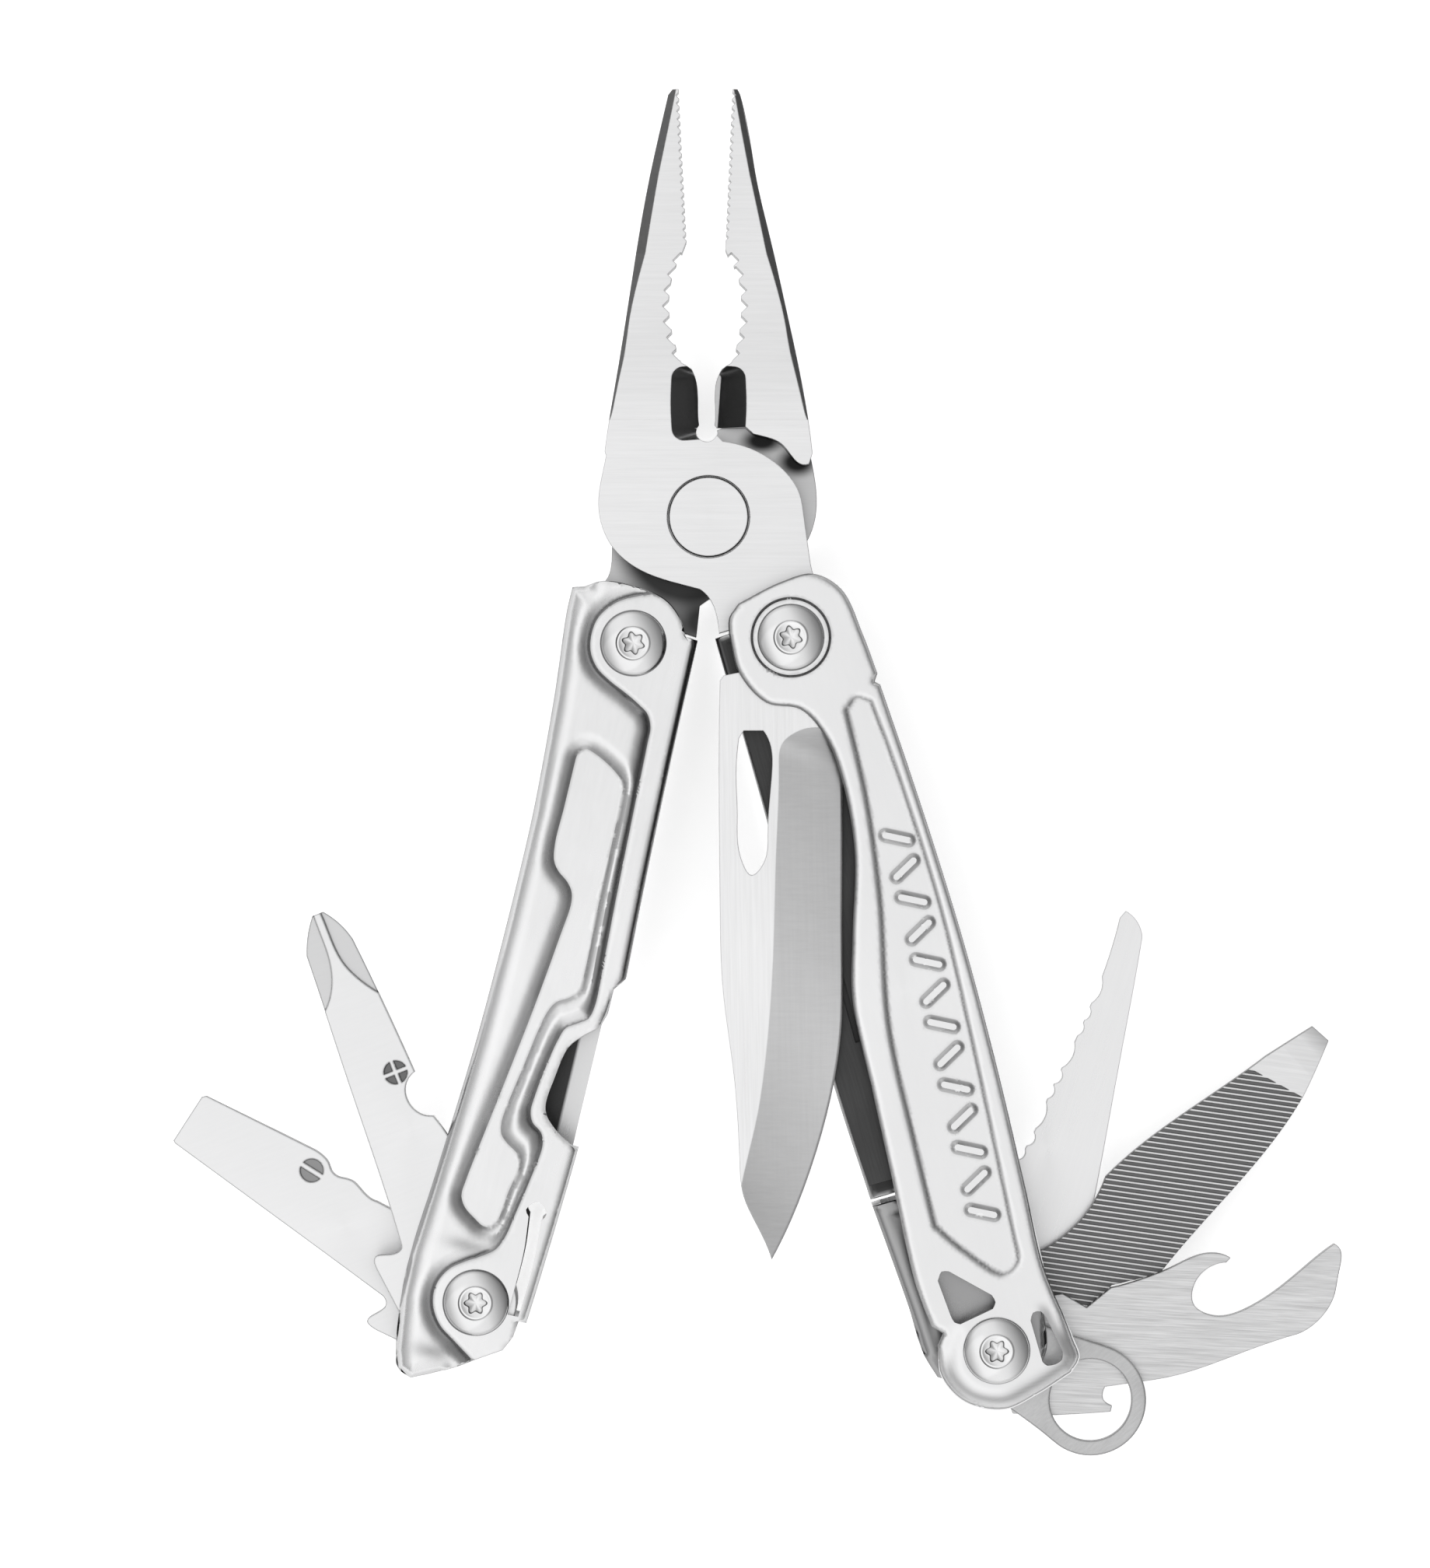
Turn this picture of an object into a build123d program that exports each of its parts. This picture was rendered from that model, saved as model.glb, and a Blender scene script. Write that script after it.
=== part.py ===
"""Folding pliers multi tool, fanned open, lying on its back.

The table is the XY plane and +Z is the thickness. Each handle is a formed steel
channel on its own line of two screws; the drivers, blades, opener and ring are a
stack of thin leaves on the lower screws, the pliers turn on the upper screws, and
the main knife lies between the right channel and its front cover.
"""
import os
from math import cos, radians, sin

from build123d import *

os.makedirs("parts", exist_ok=True)

# ---------------------------------------------------------------- driving sizes
JAW_PIVOT = (-5.28, 28.85)
LEFT_HEAD = (-8.52, -14.36)     # upper screws, from the jaw pivot
RIGHT_HEAD = (9.28, -13.77)
LEFT_TURN = -13.44              # lean of each handle, degrees
RIGHT_TURN = 16.09
LEFT_SPAN = 76.73               # upper screw to lower screw
RIGHT_SPAN = 83.6

PHILLIPS_TURN = 21.7            # lean of each fanned leaf, degrees
FLAT_TURN = 58.0
SERRATED_TURN = -18.5
FILE_TURN = -46.5
OPENER_TURN = -77.5
RING_TURN = -119.3

RELIEF = 1.3                    # raised forming on a handle face
WALL = 1.0
BACK_OUT = RELIEF               # outer face of the back wall
BACK_IN = BACK_OUT + WALL
FRONT_IN = 10.7
FRONT_OUT = FRONT_IN + WALL
LEFT_TOP = FRONT_OUT + RELIEF

JAW_MID = 6.5
JAW_HALF = 4.05
LAP_GAP = 0.05

LINER_TOP = 12.9
WASHER = 0.15
KNIFE_LOW, KNIFE_TOP = 13.1, 15.3
COVER_LOW, COVER_TOP = 15.5, 16.6
COUNTERBORE = 0.35

POST_R = 2.4
RUN_R = 2.45                    # bore that turns on a post
EYE_R = 4.6
HEAD_R = 3.78
HEAD_H = RELIEF
SHANK_R = 1.5

PHILLIPS_Z = (8.95, 10.6)
FLAT_Z = (2.4, 4.4)
SERRATED_Z = (2.4, 3.9)
FILE_Z = (4.0, 6.2)
OPENER_Z = (6.35, 8.15)
RING_Z = (8.3, 9.8)


# ---------------------------------------------------------------- helpers
def turned(offset, angle):
    """A point given in a frame leaning by angle, in the upright frame."""
    a = radians(angle)
    return (offset[0] * cos(a) - offset[1] * sin(a), offset[0] * sin(a) + offset[1] * cos(a))


def moved(origin, offset, angle=0.0):
    dx, dy = turned(offset, angle)
    return (origin[0] + dx, origin[1] + dy)


def flat(origin, angle, z):
    """Plane parallel to the table at height z, its Y leaning by angle."""
    a = radians(angle)
    return Plane(origin=(origin[0], origin[1], z), x_dir=(cos(a), sin(a), 0), z_dir=(0, 0, 1))


def outline(*points):
    """Closed face. Lists are corners, the tuples between two corners make one curve."""
    count = len(points)
    with BuildLine() as rim:
        run = [tuple(points[0])]
        for i in range(1, count + 1):
            point = points[i % count]
            run.append(tuple(point))
            if isinstance(point, list):
                if len(run) == 2:
                    Line(*run)
                else:
                    Spline(*run)
                run = [tuple(point)]
    make_face(rim.edges())


def band(low, high, *points):
    """Closed strip between two smooth edges given from one end to the other."""
    outline(list(low[0]), *low[1:-1], list(low[-1]), list(high[-1]), *high[-2:0:-1], list(high[0]))


TL = moved(JAW_PIVOT, LEFT_HEAD)
TR = moved(JAW_PIVOT, RIGHT_HEAD)
BL = moved(TL, (0, -LEFT_SPAN), LEFT_TURN)
BR = moved(TR, (0, -RIGHT_SPAN), RIGHT_TURN)


def save(builder, name):
    builder.part.label = name
    export_step(builder.part, f"parts/{name}.step")


# ---------------------------------------------------------------- pliers
NOSE_HEIGHT = 2 * JAW_HALF


def notches(rows, size):
    """Tooth gaps, each a small square standing on its corner."""
    for x, y in rows:
        with Locations((x, y)):
            RegularPolygon(radius=size, side_count=4, rotation=0)


def fine_teeth(x_tip, x_root):
    return [(x_root + (x_tip - x_root) * i / 18, 31.8 + 0.9 * i) for i in range(19)]


def arch_teeth(side, depth, bulge):
    """Coarse grip: gaps along a shallow arch bulging away from the middle."""
    return [(side * (depth - bulge * (y - 23.8) ** 2), y) for y in (18.6, 20.4, 22.2, 24.0, 25.8, 27.6, 29.2)]


def nose_profile():
    """Side view of the nose, thick at the cutter and thin at the tip."""
    clear = JAW_HALF + 0.3
    outline([-40, -clear], [10.6, -clear], [11, -4.04], (12.5, -3.99), (15, -3.7), (18, -3.2), (21, -2.65),
            (30, -1.9), (40, -1.55), [49.5, -1.25], [49.5, 1.25], (40, 1.55), (30, 1.9), (21, 2.65),
            (18, 3.2), (15, 3.7), (12.5, 3.99), [11, 4.04], [10.6, clear], [-40, clear])


SIDE_VIEW = Plane(origin=(JAW_PIVOT[0] - 30, JAW_PIVOT[1], JAW_MID), x_dir=(0, 1, 0), z_dir=(1, 0, 0))
CROSS_VIEW = Plane(origin=(*JAW_PIVOT, JAW_MID), x_dir=(1, 0, 0), z_dir=(0, -1, 0))


def cutter_pocket(side):
    """Rounded hollows beside the wire cutter, sloping down to its edge in the middle plane."""
    pockets = []
    for up in (1, -1):
        hollow = []
        for z, middle, width, height in ((JAW_HALF + 0.2, 2.2, 4.7, 8.7), (0.05, 0.85, 0.7, 6.6)):
            with BuildSketch(flat(JAW_PIVOT, 0, JAW_MID + up * z)) as face:
                with Locations(Location((side * middle, 13.0), -side * 4)):
                    RectangleRounded(width, height, min(width, 3.2) * 0.45)
            hollow.append(face.sketch.faces()[0])
        pockets.append(Solid.make_loft([f.outer_wire() for f in hollow]))
    return pockets


def bevel_section(side, y, inner, outer, half):
    """Plane and triangle cut off the outer top edge of the nose at one station."""
    return Plane(origin=(JAW_PIVOT[0], JAW_PIVOT[1] + y, JAW_MID), x_dir=(side, 0, 0), z_dir=(0, side, 0)), (
        (inner, half), (outer, half - 0.75 * (outer - inner)), (outer + 1.5, half - 0.4), (outer, half + 1.5))


# distance from the middle plane at the bevel's two edges, and the half thickness there
FRONT_BEVEL = ((11.0, 11.1, 11.3, 4.1), (20.6, 9.1, 9.9, 2.8), (30.0, 7.1, 8.3, 1.95), (39.0, 5.6, 6.75, 1.62),
               (48.9, 3.6, 4.5, 1.3))
REAR_BEVEL = ((11.0, 11.1, 11.3, 4.1), (20.6, 8.8, 9.6, 2.8), (30.0, 6.5, 7.5, 1.95), (39.0, 4.6, 5.45, 1.62),
              (48.9, 2.8, 3.5, 1.3))

with BuildPart() as front_jaw:
    head = flat(JAW_PIVOT, 0, JAW_MID - JAW_HALF)
    with BuildSketch(head):
        outline([-3.4, 48.7], [-4.1, 48.7], [-4.6, 48.1], (-5.6, 43.8), (-6.7, 38.8), (-8.8, 26.5),
                (-10.5, 15.6), (-11.2, 11.5), [-11.8, 7.4], [-11.3, 6.0], (-10.4, 6.1), (-9.2, 7.3),
                (-8.1, 8.5), (-6.7, 9.1), [-5.1, 9.5], [-4.2, 10.2], [-1.0, 10.2], (-1.2, 13.4),
                (-1.5, 15.9), [-1.9, 16.8], [-3.1, 17.5], (-4.0, 20.4), (-4.5, 24.0), (-4.1, 27.4),
                [-3.0, 30.0], [-2.5, 31.3])
    extrude(amount=NOSE_HEIGHT)
    with BuildSketch(SIDE_VIEW):
        nose_profile()
    extrude(amount=60, mode=Mode.INTERSECT)
    for up in (1, -1):
        for k in range(4):
            with BuildPart(mode=Mode.PRIVATE) as cut:
                for y, inner, outer, half in FRONT_BEVEL[k:k + 2]:
                    plane, corners = bevel_section(-1, y, inner, outer, half)
                    with BuildSketch(plane):
                        Polygon(*[(x, up * z) for x, z in corners], align=None)
                loft(ruled=True)
            add(cut.part, mode=Mode.SUBTRACT)
    with BuildSketch(flat(JAW_PIVOT, 0, JAW_MID + LAP_GAP)):
        outline([-11.3, 9.3], (-11.9, 5.6), (-12.5, 1.2), (-11.2, -3.0), (-7.8, -6.0), (-4.4, -7.3),
                [-1.0, -8.2], (0.2, -9.4), (1.0, -11.6), [1.2, -13.2], [3.6, -12.5], [5.5, -9.4],
                [12.9, -9.8], [14.9, -8.9], [14.6, -7.7], (12.6, -7.6), (11.4, -4.2), (10.8, 0.2),
                (10.3, 2.7), (8.8, 5.0), (4.6, 7.8), [1.6, 8.55], [0.9, 9.3], [-1.6, 10.2], [-6.0, 10.3])
        with Locations(RIGHT_HEAD):
            Circle(5.5)
    extrude(amount=JAW_HALF - LAP_GAP)
    with BuildSketch(head):
        with Locations(RIGHT_HEAD):
            Circle(RUN_R)
        Circle(3.45)
        with Locations((-0.2, 9.7)):
            Circle(1.2)
        notches(fine_teeth(-3.3, -2.45), 0.42)
        notches(arch_teeth(-1, 4.35, 0.04), 0.88)
    extrude(amount=NOSE_HEIGHT, mode=Mode.SUBTRACT)
    for hollow in cutter_pocket(-1):
        add(hollow, mode=Mode.SUBTRACT)
    with BuildSketch(flat(JAW_PIVOT, 0, JAW_MID + JAW_HALF - 1.5)):
        Circle(4.7)
    extrude(amount=2, mode=Mode.SUBTRACT)
save(front_jaw, "front_jaw")

with BuildPart() as rear_jaw:
    head = flat(JAW_PIVOT, 0, JAW_MID - JAW_HALF)
    with BuildSketch(head):
        outline([2.7, 48.7], [3.3, 48.7], [3.6, 48.1], (4.5, 44.3), (5.4, 38.8), (7.3, 30.6), (8.3, 26.1),
                (9.5, 20.6), (11.3, 11.1), [11.8, 7.2], [11.4, 6.0], (10.4, 6.0), (9.2, 7.2), (8.1, 8.4),
                (6.7, 9.0), [5.1, 9.4], [4.2, 10.2], [0.6, 10.2], (0.7, 13.8), (0.9, 15.6), [1.5, 16.8],
                [2.6, 17.5], (3.4, 20.4), (3.7, 23.8), (3.3, 27.5), [2.3, 29.4], [1.9, 30.4])
    extrude(amount=NOSE_HEIGHT)
    with BuildSketch(SIDE_VIEW):
        nose_profile()
    extrude(amount=60, mode=Mode.INTERSECT)
    for up in (1, -1):
        for k in range(4):
            with BuildPart(mode=Mode.PRIVATE) as cut:
                for y, inner, outer, half in REAR_BEVEL[k:k + 2]:
                    plane, corners = bevel_section(1, y, inner, outer, half)
                    with BuildSketch(plane):
                        Polygon(*[(x, up * z) for x, z in corners], align=None)
                loft(ruled=True)
            add(cut.part, mode=Mode.SUBTRACT)
    with BuildSketch(head):
        outline([11.2, 9.3], (11.9, 5.6), (12.3, 1.2), (11.3, -2.5), (7.8, -6.0), (4.0, -8.0), [0.0, -9.3],
                [-1.0, -10.0], [-1.4, -13.6], [-3.2, -13.0], [-5.0, -10.0], [-12.6, -10.6], [-13.9, -9.4],
                [-13.4, -8.0], (-11.7, -7.1), (-11.0, -3.1), (-10.8, 0.2), (-10.3, 2.7), (-8.8, 5.0),
                (-4.6, 7.8), [-1.6, 8.55], [-0.9, 9.3], [1.6, 10.2], [6.0, 10.3])
        with Locations(LEFT_HEAD):
            Circle(5.5)
    extrude(amount=JAW_HALF - LAP_GAP)
    with BuildSketch(head):
        with Locations(LEFT_HEAD):
            Circle(RUN_R)
        Circle(3.45)
        with Locations((-0.2, 9.7)):
            Circle(1.2)
        notches(fine_teeth(2.65, 1.85), 0.42)
        notches(arch_teeth(1, 3.6, 0.035), 0.88)
    extrude(amount=NOSE_HEIGHT, mode=Mode.SUBTRACT)
    for hollow in cutter_pocket(1):
        add(hollow, mode=Mode.SUBTRACT)
    with BuildSketch(flat(JAW_PIVOT, 0, JAW_MID - JAW_HALF - 0.5)):
        Circle(4.7)
    extrude(amount=2, mode=Mode.SUBTRACT)
save(rear_jaw, "rear_jaw")

with BuildPart() as jaw_pivot_pin:
    with BuildSketch(flat(JAW_PIVOT, 0, JAW_MID - JAW_HALF + 0.05)):
        Circle(4.55)
    extrude(amount=1.4)
    with BuildSketch(flat(JAW_PIVOT, 0, JAW_MID - JAW_HALF + 1)):
        Circle(3.4)
    extrude(amount=6)
    with BuildSketch(flat(JAW_PIVOT, 0, JAW_MID + JAW_HALF - 1.5)):
        Circle(4.55)
    extrude(amount=1.5)
    chamfer(jaw_pivot_pin.part.edges().group_by(Axis.Z)[-1], length=0.15)
save(jaw_pivot_pin, "jaw_pivot_pin")


# ---------------------------------------------------------------- handles
LEFT_OPENING = ((-8.2, 4.6), (-8.2, 2.0), (-7.3, -8.3), (-6.6, -21.7), (-6.6, -35.0), (-6.9, -48.0),
                (-7.8, -63.0), (-8.5, -73.0), (-8.4, -78.0), (-7.6, -84.0), (-6.9, -86.0), (-5.2, -86.8))


def left_outline(windowed):
    """Formed wall: crowned top, flared lower end, and a window above the leaf spring."""
    window = ([6.9, -41.7], (6.3, -43.2), (4.7, -44.7), (3.5, -46.2), (2.8, -49.7), (2.6, -53.7),
              (4.2, -55.6), [7.2, -57.3])
    solid = ([6.9, -41.7], [6.5, -43.0], [6.5, -57.3], [7.2, -57.3])
    outline([-8.2, 4.6], *LEFT_OPENING[1:-1], [-5.2, -86.8], (-2.0, -85.2), [4.2, -81.3], [5.0, -79.6],
            [5.2, -77.7], [6.1, -77.7], (6.5, -71.3), (7.0, -62.0), *(window if windowed else solid)[::-1],
            [6.9, -38.7], [8.0, -37.2], (7.6, -27.0), (7.2, -12.0), [7.0, 2.0], [5.6, 2.1], (4.5, 4.0),
            (2.3, 5.7), (-1.7, 6.3), (-4.8, 6.1), [-6.9, 5.0])


def left_slot():
    """Keyhole slot that frees the leaf spring from a wall."""
    with Locations((4.27, -65.2)):
        Circle(1.2)
    outline([3.7, -65.4], (4.1, -70.0), [3.8, -77.9], [5.05, -77.9], (5.3, -71.3), [5.3, -65.4])


def left_web(thick):
    """Web strips along the inner side, above and below the window."""
    band(((7.0, 2.0), (7.2, -12.0), (7.6, -27.0), (8.0, -37.2)),
         ((7.0 - thick, 2.0), (7.2 - thick, -12.0), (7.6 - thick, -27.0), (8.0 - thick, -37.2)))
    band(((7.2, -57.3), (7.0, -62.0), (6.5, -71.3), (6.1, -77.7)),
         ((6.1, -57.3), (5.8, -62.0), (5.35, -71.3), (5.1, -77.7)))


def left_raised(inset):
    """Raised face left of the S line; inset narrows it for the top of the forming."""
    k = inset
    outline([-8.1 + k, 4.2 - k], (-7.9 + k, 0.0), (-7.2 + k, -10.0), (-6.5 + k, -25.0), (-6.6 + k, -38.0),
            (-7.0 + k, -50.0), (-7.9 + k, -64.0), (-8.4 + k, -74.0), (-8.2 + k, -79.0), (-7.4 + k, -84.0),
            [-6.6 + k, -85.8 + k], [-5.0, -86.5 + k], [0.6 - k, -83.4 + k], (-1.7 - k, -81.3), (-3.9 - k, -79.4),
            (-4.8 - k, -76.8), (-3.8 - k, -73.7 + k * 0.7), (-0.7 - k, -71.5 + k), (1.5 - k, -68.7 + k),
            (2.7 - k, -62.0), (3.1 - k, -57.3), (1.6 - k, -55.5), (1.0 - k, -53.6), (1.5 - k, -49.0),
            (2.4 - k, -44.6), (4.3 - k, -43.0 + k), (5.2 - k, -41.2 + k * 0.6), (5.0 - k, -34.0),
            (4.5 - k, -20.0), (4.2 - k, -10.7), (3.5 - k, -7.6 - k), (0.7, -5.8 - k), (-3.3 - k, -3.7),
            (-4.8 - k, 0.0), (-4.2 - k, 2.5), (-3.0 - k, 4.1), [-1.0 - k, 5.2 - k], [-3.3, 6.1 - k],
            [-5.0, 5.7 - k])


def left_pocket(k):
    """Long dished panel in the raised face; k widens it towards the rim."""
    outline([-3.2 - k, -13.6 + k], (0.6, -14.0 + k), (2.8 + k, -17.7), (3.0 + k, -28.0), [3.3 + k * 0.8, -39.2],
            (1.0 + k, -41.5), (-0.2 + k, -45.0), (-1.9 + k, -55.5), (1.2 + k, -60.6), (0.2 + k, -67.2),
            (-1.3, -68.1 - k), (-3.8, -66.5 - k), (-4.4 - k, -64.6), (-3.8 - k, -59.0), (-2.0 - k, -47.3),
            (-0.6 - k, -36.0), (-0.1 - k, -30.5), (-2.4 - k, -26.9), [-3.3 - k, -24.0])


with BuildPart() as left_channel:
    with BuildSketch(flat(TL, LEFT_TURN, BACK_OUT)):
        left_outline(False)
    extrude(amount=WALL)
    with BuildSketch(flat(TL, LEFT_TURN, FRONT_IN)):
        left_outline(True)
    extrude(amount=WALL)
    with BuildSketch(flat(TL, LEFT_TURN, BACK_OUT)):
        left_web(1.1)
    extrude(amount=FRONT_OUT - BACK_OUT)
    for z, way in ((FRONT_OUT, 1), (BACK_OUT, -1)):
        with BuildSketch(flat(TL, LEFT_TURN, z)):
            left_raised(0.0)
        with BuildSketch(flat(TL, LEFT_TURN, z + way * RELIEF)):
            left_raised(0.8)
        loft(ruled=True)
        with BuildSketch(flat(TL, LEFT_TURN, z + way * 0.25)):
            left_pocket(0.0)
        with BuildSketch(flat(TL, LEFT_TURN, z + way * (RELIEF + 0.01))):
            left_pocket(0.9)
        loft(ruled=True, mode=Mode.SUBTRACT)
    with BuildSketch(flat(TL, LEFT_TURN, -1)):
        with Locations((0, 0), (0, -LEFT_SPAN)):
            Circle(RUN_R)
        left_slot()
    extrude(amount=16, mode=Mode.SUBTRACT)
save(left_channel, "left_channel")


def right_outline():
    outline([6.4, 3.0], [6.2, -40.0], [6.6, -80.0], (5.2, -86.0), (1.0, -88.4), (-3.0, -87.6), [-7.2, -85.0],
            (-8.0, -82.0), (-8.1, -77.0), (-8.5, -70.3), [-8.9, -64.4], (-9.3, -50.0), (-8.9, -35.0),
            (-8.3, -20.0), [-8.2, 2.3], [-6.6, 2.4], (-4.6, 4.9), (0.0, 6.1), (4.4, 5.3))


def right_raised(k):
    outline([5.9 - k, 2.4], [5.7 - k, -40.0], [6.1 - k, -78.3 + k], [1.6 + k, -78.3 + k], (0.2 + k, -73.5),
            [-3.0 + k, -68.0], [-5.4 + k, -56.0], (-6.0 + k, -48.0), (-5.0 + k, -30.0),
            [-4.3 + k, -10.7], (-0.7, -5.8 - k), (3.3 - k, -3.7), (4.8 - k, 0.0), [4.2 - k, 2.5])


with BuildPart() as right_channel:
    for z in (BACK_OUT, FRONT_IN):
        with BuildSketch(flat(TR, RIGHT_TURN, z)):
            right_outline()
        extrude(amount=WALL)
    with BuildSketch(flat(TR, RIGHT_TURN, BACK_OUT)):
        band(((-8.2, 2.3), (-8.3, -20.0), (-8.9, -35.0), (-9.3, -50.0), (-8.9, -63.6)),
             ((-7.1, 2.3), (-7.2, -20.0), (-7.8, -35.0), (-8.2, -50.0), (-7.8, -63.6)))
        band(((-8.9, -64.4), (-8.5, -70.3), (-8.1, -77.0), (-7.9, -82.0)),
             ((-7.9, -64.4), (-7.5, -70.3), (-7.1, -77.0), (-6.9, -82.0)))
    extrude(amount=FRONT_OUT - BACK_OUT)
    with BuildSketch(flat(TR, RIGHT_TURN, BACK_OUT)):
        right_raised(0.0)
    with BuildSketch(flat(TR, RIGHT_TURN, 0)):
        right_raised(0.8)
    loft(ruled=True)
    with BuildSketch(flat(TR, RIGHT_TURN, -1)):
        with Locations((0, 0), (0, -RIGHT_SPAN)):
            Circle(RUN_R)
        with Locations((6.02, -1.5)):
            Circle(0.9)
        outline([-7.0, -65.6], (-6.7, -71.0), [-6.3, -82.5], [-5.3, -82.5], (-5.6, -71.0), [-5.7, -65.6])
        outline([-10.5, -63.6], [-5.6, -63.6], [-5.6, -64.4], [-10.5, -64.4])
    extrude(amount=16, mode=Mode.SUBTRACT)
save(right_channel, "right_channel")

COVER_WEB_SIDE = ((-6.6, 2.3), (-6.7, -2.3), (-4.7, -6.3), (-1.2, -8.1), (0.6, -11.8), (1.1, -17.0),
                  (0.2, -25.0), (-2.7, -34.3), (-4.7, -41.3), (-5.4, -52.0), (-6.0, -62.0), (-6.7, -74.0),
                  (-6.5, -78.0))


def cover_outline(k):
    """Front cover, narrow over the blade and full width lower down; k rounds it in."""
    outline([-6.6 + k, 2.3], *[(x + k, y) for x, y in COVER_WEB_SIDE[1:-1]], [-6.3 + k, -79.0], [-5.3, -80.1],
            [-6.2 + k, -81.2], (-6.8 + k, -84.8), (-5.0 + k * 0.5, -88.3 + k), (-1.0, -90.3 + k),
            (3.0, -89.7 + k), [7.4 - k, -88.4 + k], (8.8 - k, -87.0 + k), (8.7 - k, -84.5), (7.7 - k, -76.0),
            (8.2 - k, -67.0), (8.9 - k, -53.0), (9.2 - k, -40.0), (9.1 - k, -30.0), (8.7 - k, -18.0),
            [8.2 - k, -7.9], [7.7 - k, -7.4], [8.25 - k, -6.6], (7.9 - k, -2.0), (7.0 - k, 3.6), (4.4, 6.2 - k),
            (0.6, 6.3 - k), [-4.6 + k * 0.6, 5.3 - k])


def cover_panel(k):
    """Recessed panel for the raised pattern; k widens it towards the rim."""
    outline([3.7 - k, -9.6 + k], [6.6 + k, -9.4 + k], (7.2 + k, -16.7), (7.7 + k, -33.3), (7.0 + k, -48.7),
            [5.4 + k, -71.5], (5.0 + k * 0.6, -74.6 - k), (3.2, -75.6 - k), (-0.4 - k, -71.8), [-2.8 - k, -68.2],
            (-2.4 - k, -59.0), (-1.5 - k, -45.0), (1.5 - k, -31.0), (3.1 - k, -20.0))


with BuildPart() as right_cover:
    with BuildSketch(flat(TR, RIGHT_TURN, COVER_LOW)):
        cover_outline(0.0)
    extrude(amount=COVER_TOP - COVER_LOW - 0.5)
    with BuildSketch(flat(TR, RIGHT_TURN, COVER_TOP - 0.5)):
        cover_outline(0.0)
    with BuildSketch(flat(TR, RIGHT_TURN, COVER_TOP)):
        cover_outline(0.4)
    loft(ruled=True)
    with BuildSketch(flat(TR, RIGHT_TURN, 12.4)):
        band(((8.2, -8.4), (8.7, -18.0), (9.1, -30.0), (9.2, -40.0), (8.9, -53.0), (8.2, -67.0), (7.75, -76.0)),
             ((7.4, -8.4), (7.9, -18.0), (8.3, -30.0), (8.4, -40.0), (8.1, -53.0), (7.4, -67.0), (6.95, -76.0)))
    extrude(amount=COVER_LOW - 12.3)
    with BuildSketch(flat(TR, RIGHT_TURN, COVER_TOP - 0.45)):
        cover_panel(0.0)
    with BuildSketch(flat(TR, RIGHT_TURN, COVER_TOP + 0.01)):
        cover_panel(0.35)
    loft(ruled=True, mode=Mode.SUBTRACT)
    with BuildSketch(flat(TR, RIGHT_TURN, COVER_TOP - 0.5)):
        for i in range(13):
            y = -25.0 - 3.6 * i
            with Locations(Location((5.2 - 0.9 * abs(y + 25) ** 1.35 / 60, y), 28 if i % 2 else 152)):
                SlotOverall(4.5, 1.3)
    extrude(amount=0.5)
    with BuildSketch(flat(TR, RIGHT_TURN, COVER_TOP - COUNTERBORE)):
        Circle(4.37)
    extrude(amount=1, mode=Mode.SUBTRACT)
    with BuildSketch(flat(TR, RIGHT_TURN, 10)):
        with Locations((0, 0), (0, -RIGHT_SPAN)):
            Circle(RUN_R)
        outline([-4.2, -74.0], [-3.1, -73.2], [1.4, -77.8], [1.1, -79.0], [-3.3, -79.6], [-3.9, -78.3])
        outline([4.6, -81.2], [5.4, -80.4], [6.2, -80.9], [7.1, -85.9], [6.6, -86.9], [4.7, -86.7])
    extrude(amount=10, mode=Mode.SUBTRACT)
save(right_cover, "right_cover")

with BuildPart() as liner_lock:
    with BuildSketch(flat(TR, RIGHT_TURN, FRONT_OUT)):
        outline([-6.4, -6.0], [-8.0, -8.0], (-8.1, -20.0), (-8.7, -35.0), (-9.0, -50.0), [-8.6, -62.0],
                [5.0, -62.0], (5.4, -40.0), [5.6, -10.0], (3.2, 4.4), [-2.0, 5.0], (-5.2, 1.6))
    extrude(amount=LINER_TOP - FRONT_OUT)
    with BuildSketch(flat(TR, RIGHT_TURN, 10)):
        Circle(RUN_R)
        with Locations((6.02, -1.5)):
            Circle(1.0)
        outline([-4.6, -7.2], [-4.9, -9.0], (-5.2, -20.0), [-5.6, -46.0], [-5.0, -46.0], (-4.6, -20.0),
                [-4.3, -9.0], [-4.0, -6.6], [-7.4, -6.6], [-7.4, -7.2])
        for i in range(7):
            with Locations((-8.35, -9.6 - 1.0 * i)):
                Circle(0.38)
    extrude(amount=6, mode=Mode.SUBTRACT)
save(liner_lock, "liner_lock")

with BuildPart() as knife_stop_pin:
    with BuildSketch(flat(moved(TR, (6.02, -1.5), RIGHT_TURN), 0, FRONT_IN)):
        Circle(0.9)
    extrude(amount=COVER_LOW - FRONT_IN)
save(knife_stop_pin, "knife_stop_pin")


# ---------------------------------------------------------------- screws, posts and spacers
def disc(centre, z, radius, hole=0.0):
    """Round face at height z, with an optional hole."""
    with BuildSketch(flat(centre, 0, z)) as face:
        Circle(radius)
        if hole:
            Circle(hole, mode=Mode.SUBTRACT)
    return face.sketch


def post(centre, top):
    """Threaded barrel with a domed head on the back."""
    extrude(disc(centre, BACK_OUT, POST_R), amount=top - BACK_OUT)
    loft([disc(centre, BACK_OUT, HEAD_R), disc(centre, BACK_OUT - 0.55, HEAD_R - 0.18),
          disc(centre, BACK_OUT - HEAD_H + 0.1, HEAD_R - 1.5)])
    extrude(disc(centre, top - 8, SHANK_R + 0.05), amount=9, mode=Mode.SUBTRACT)


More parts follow.
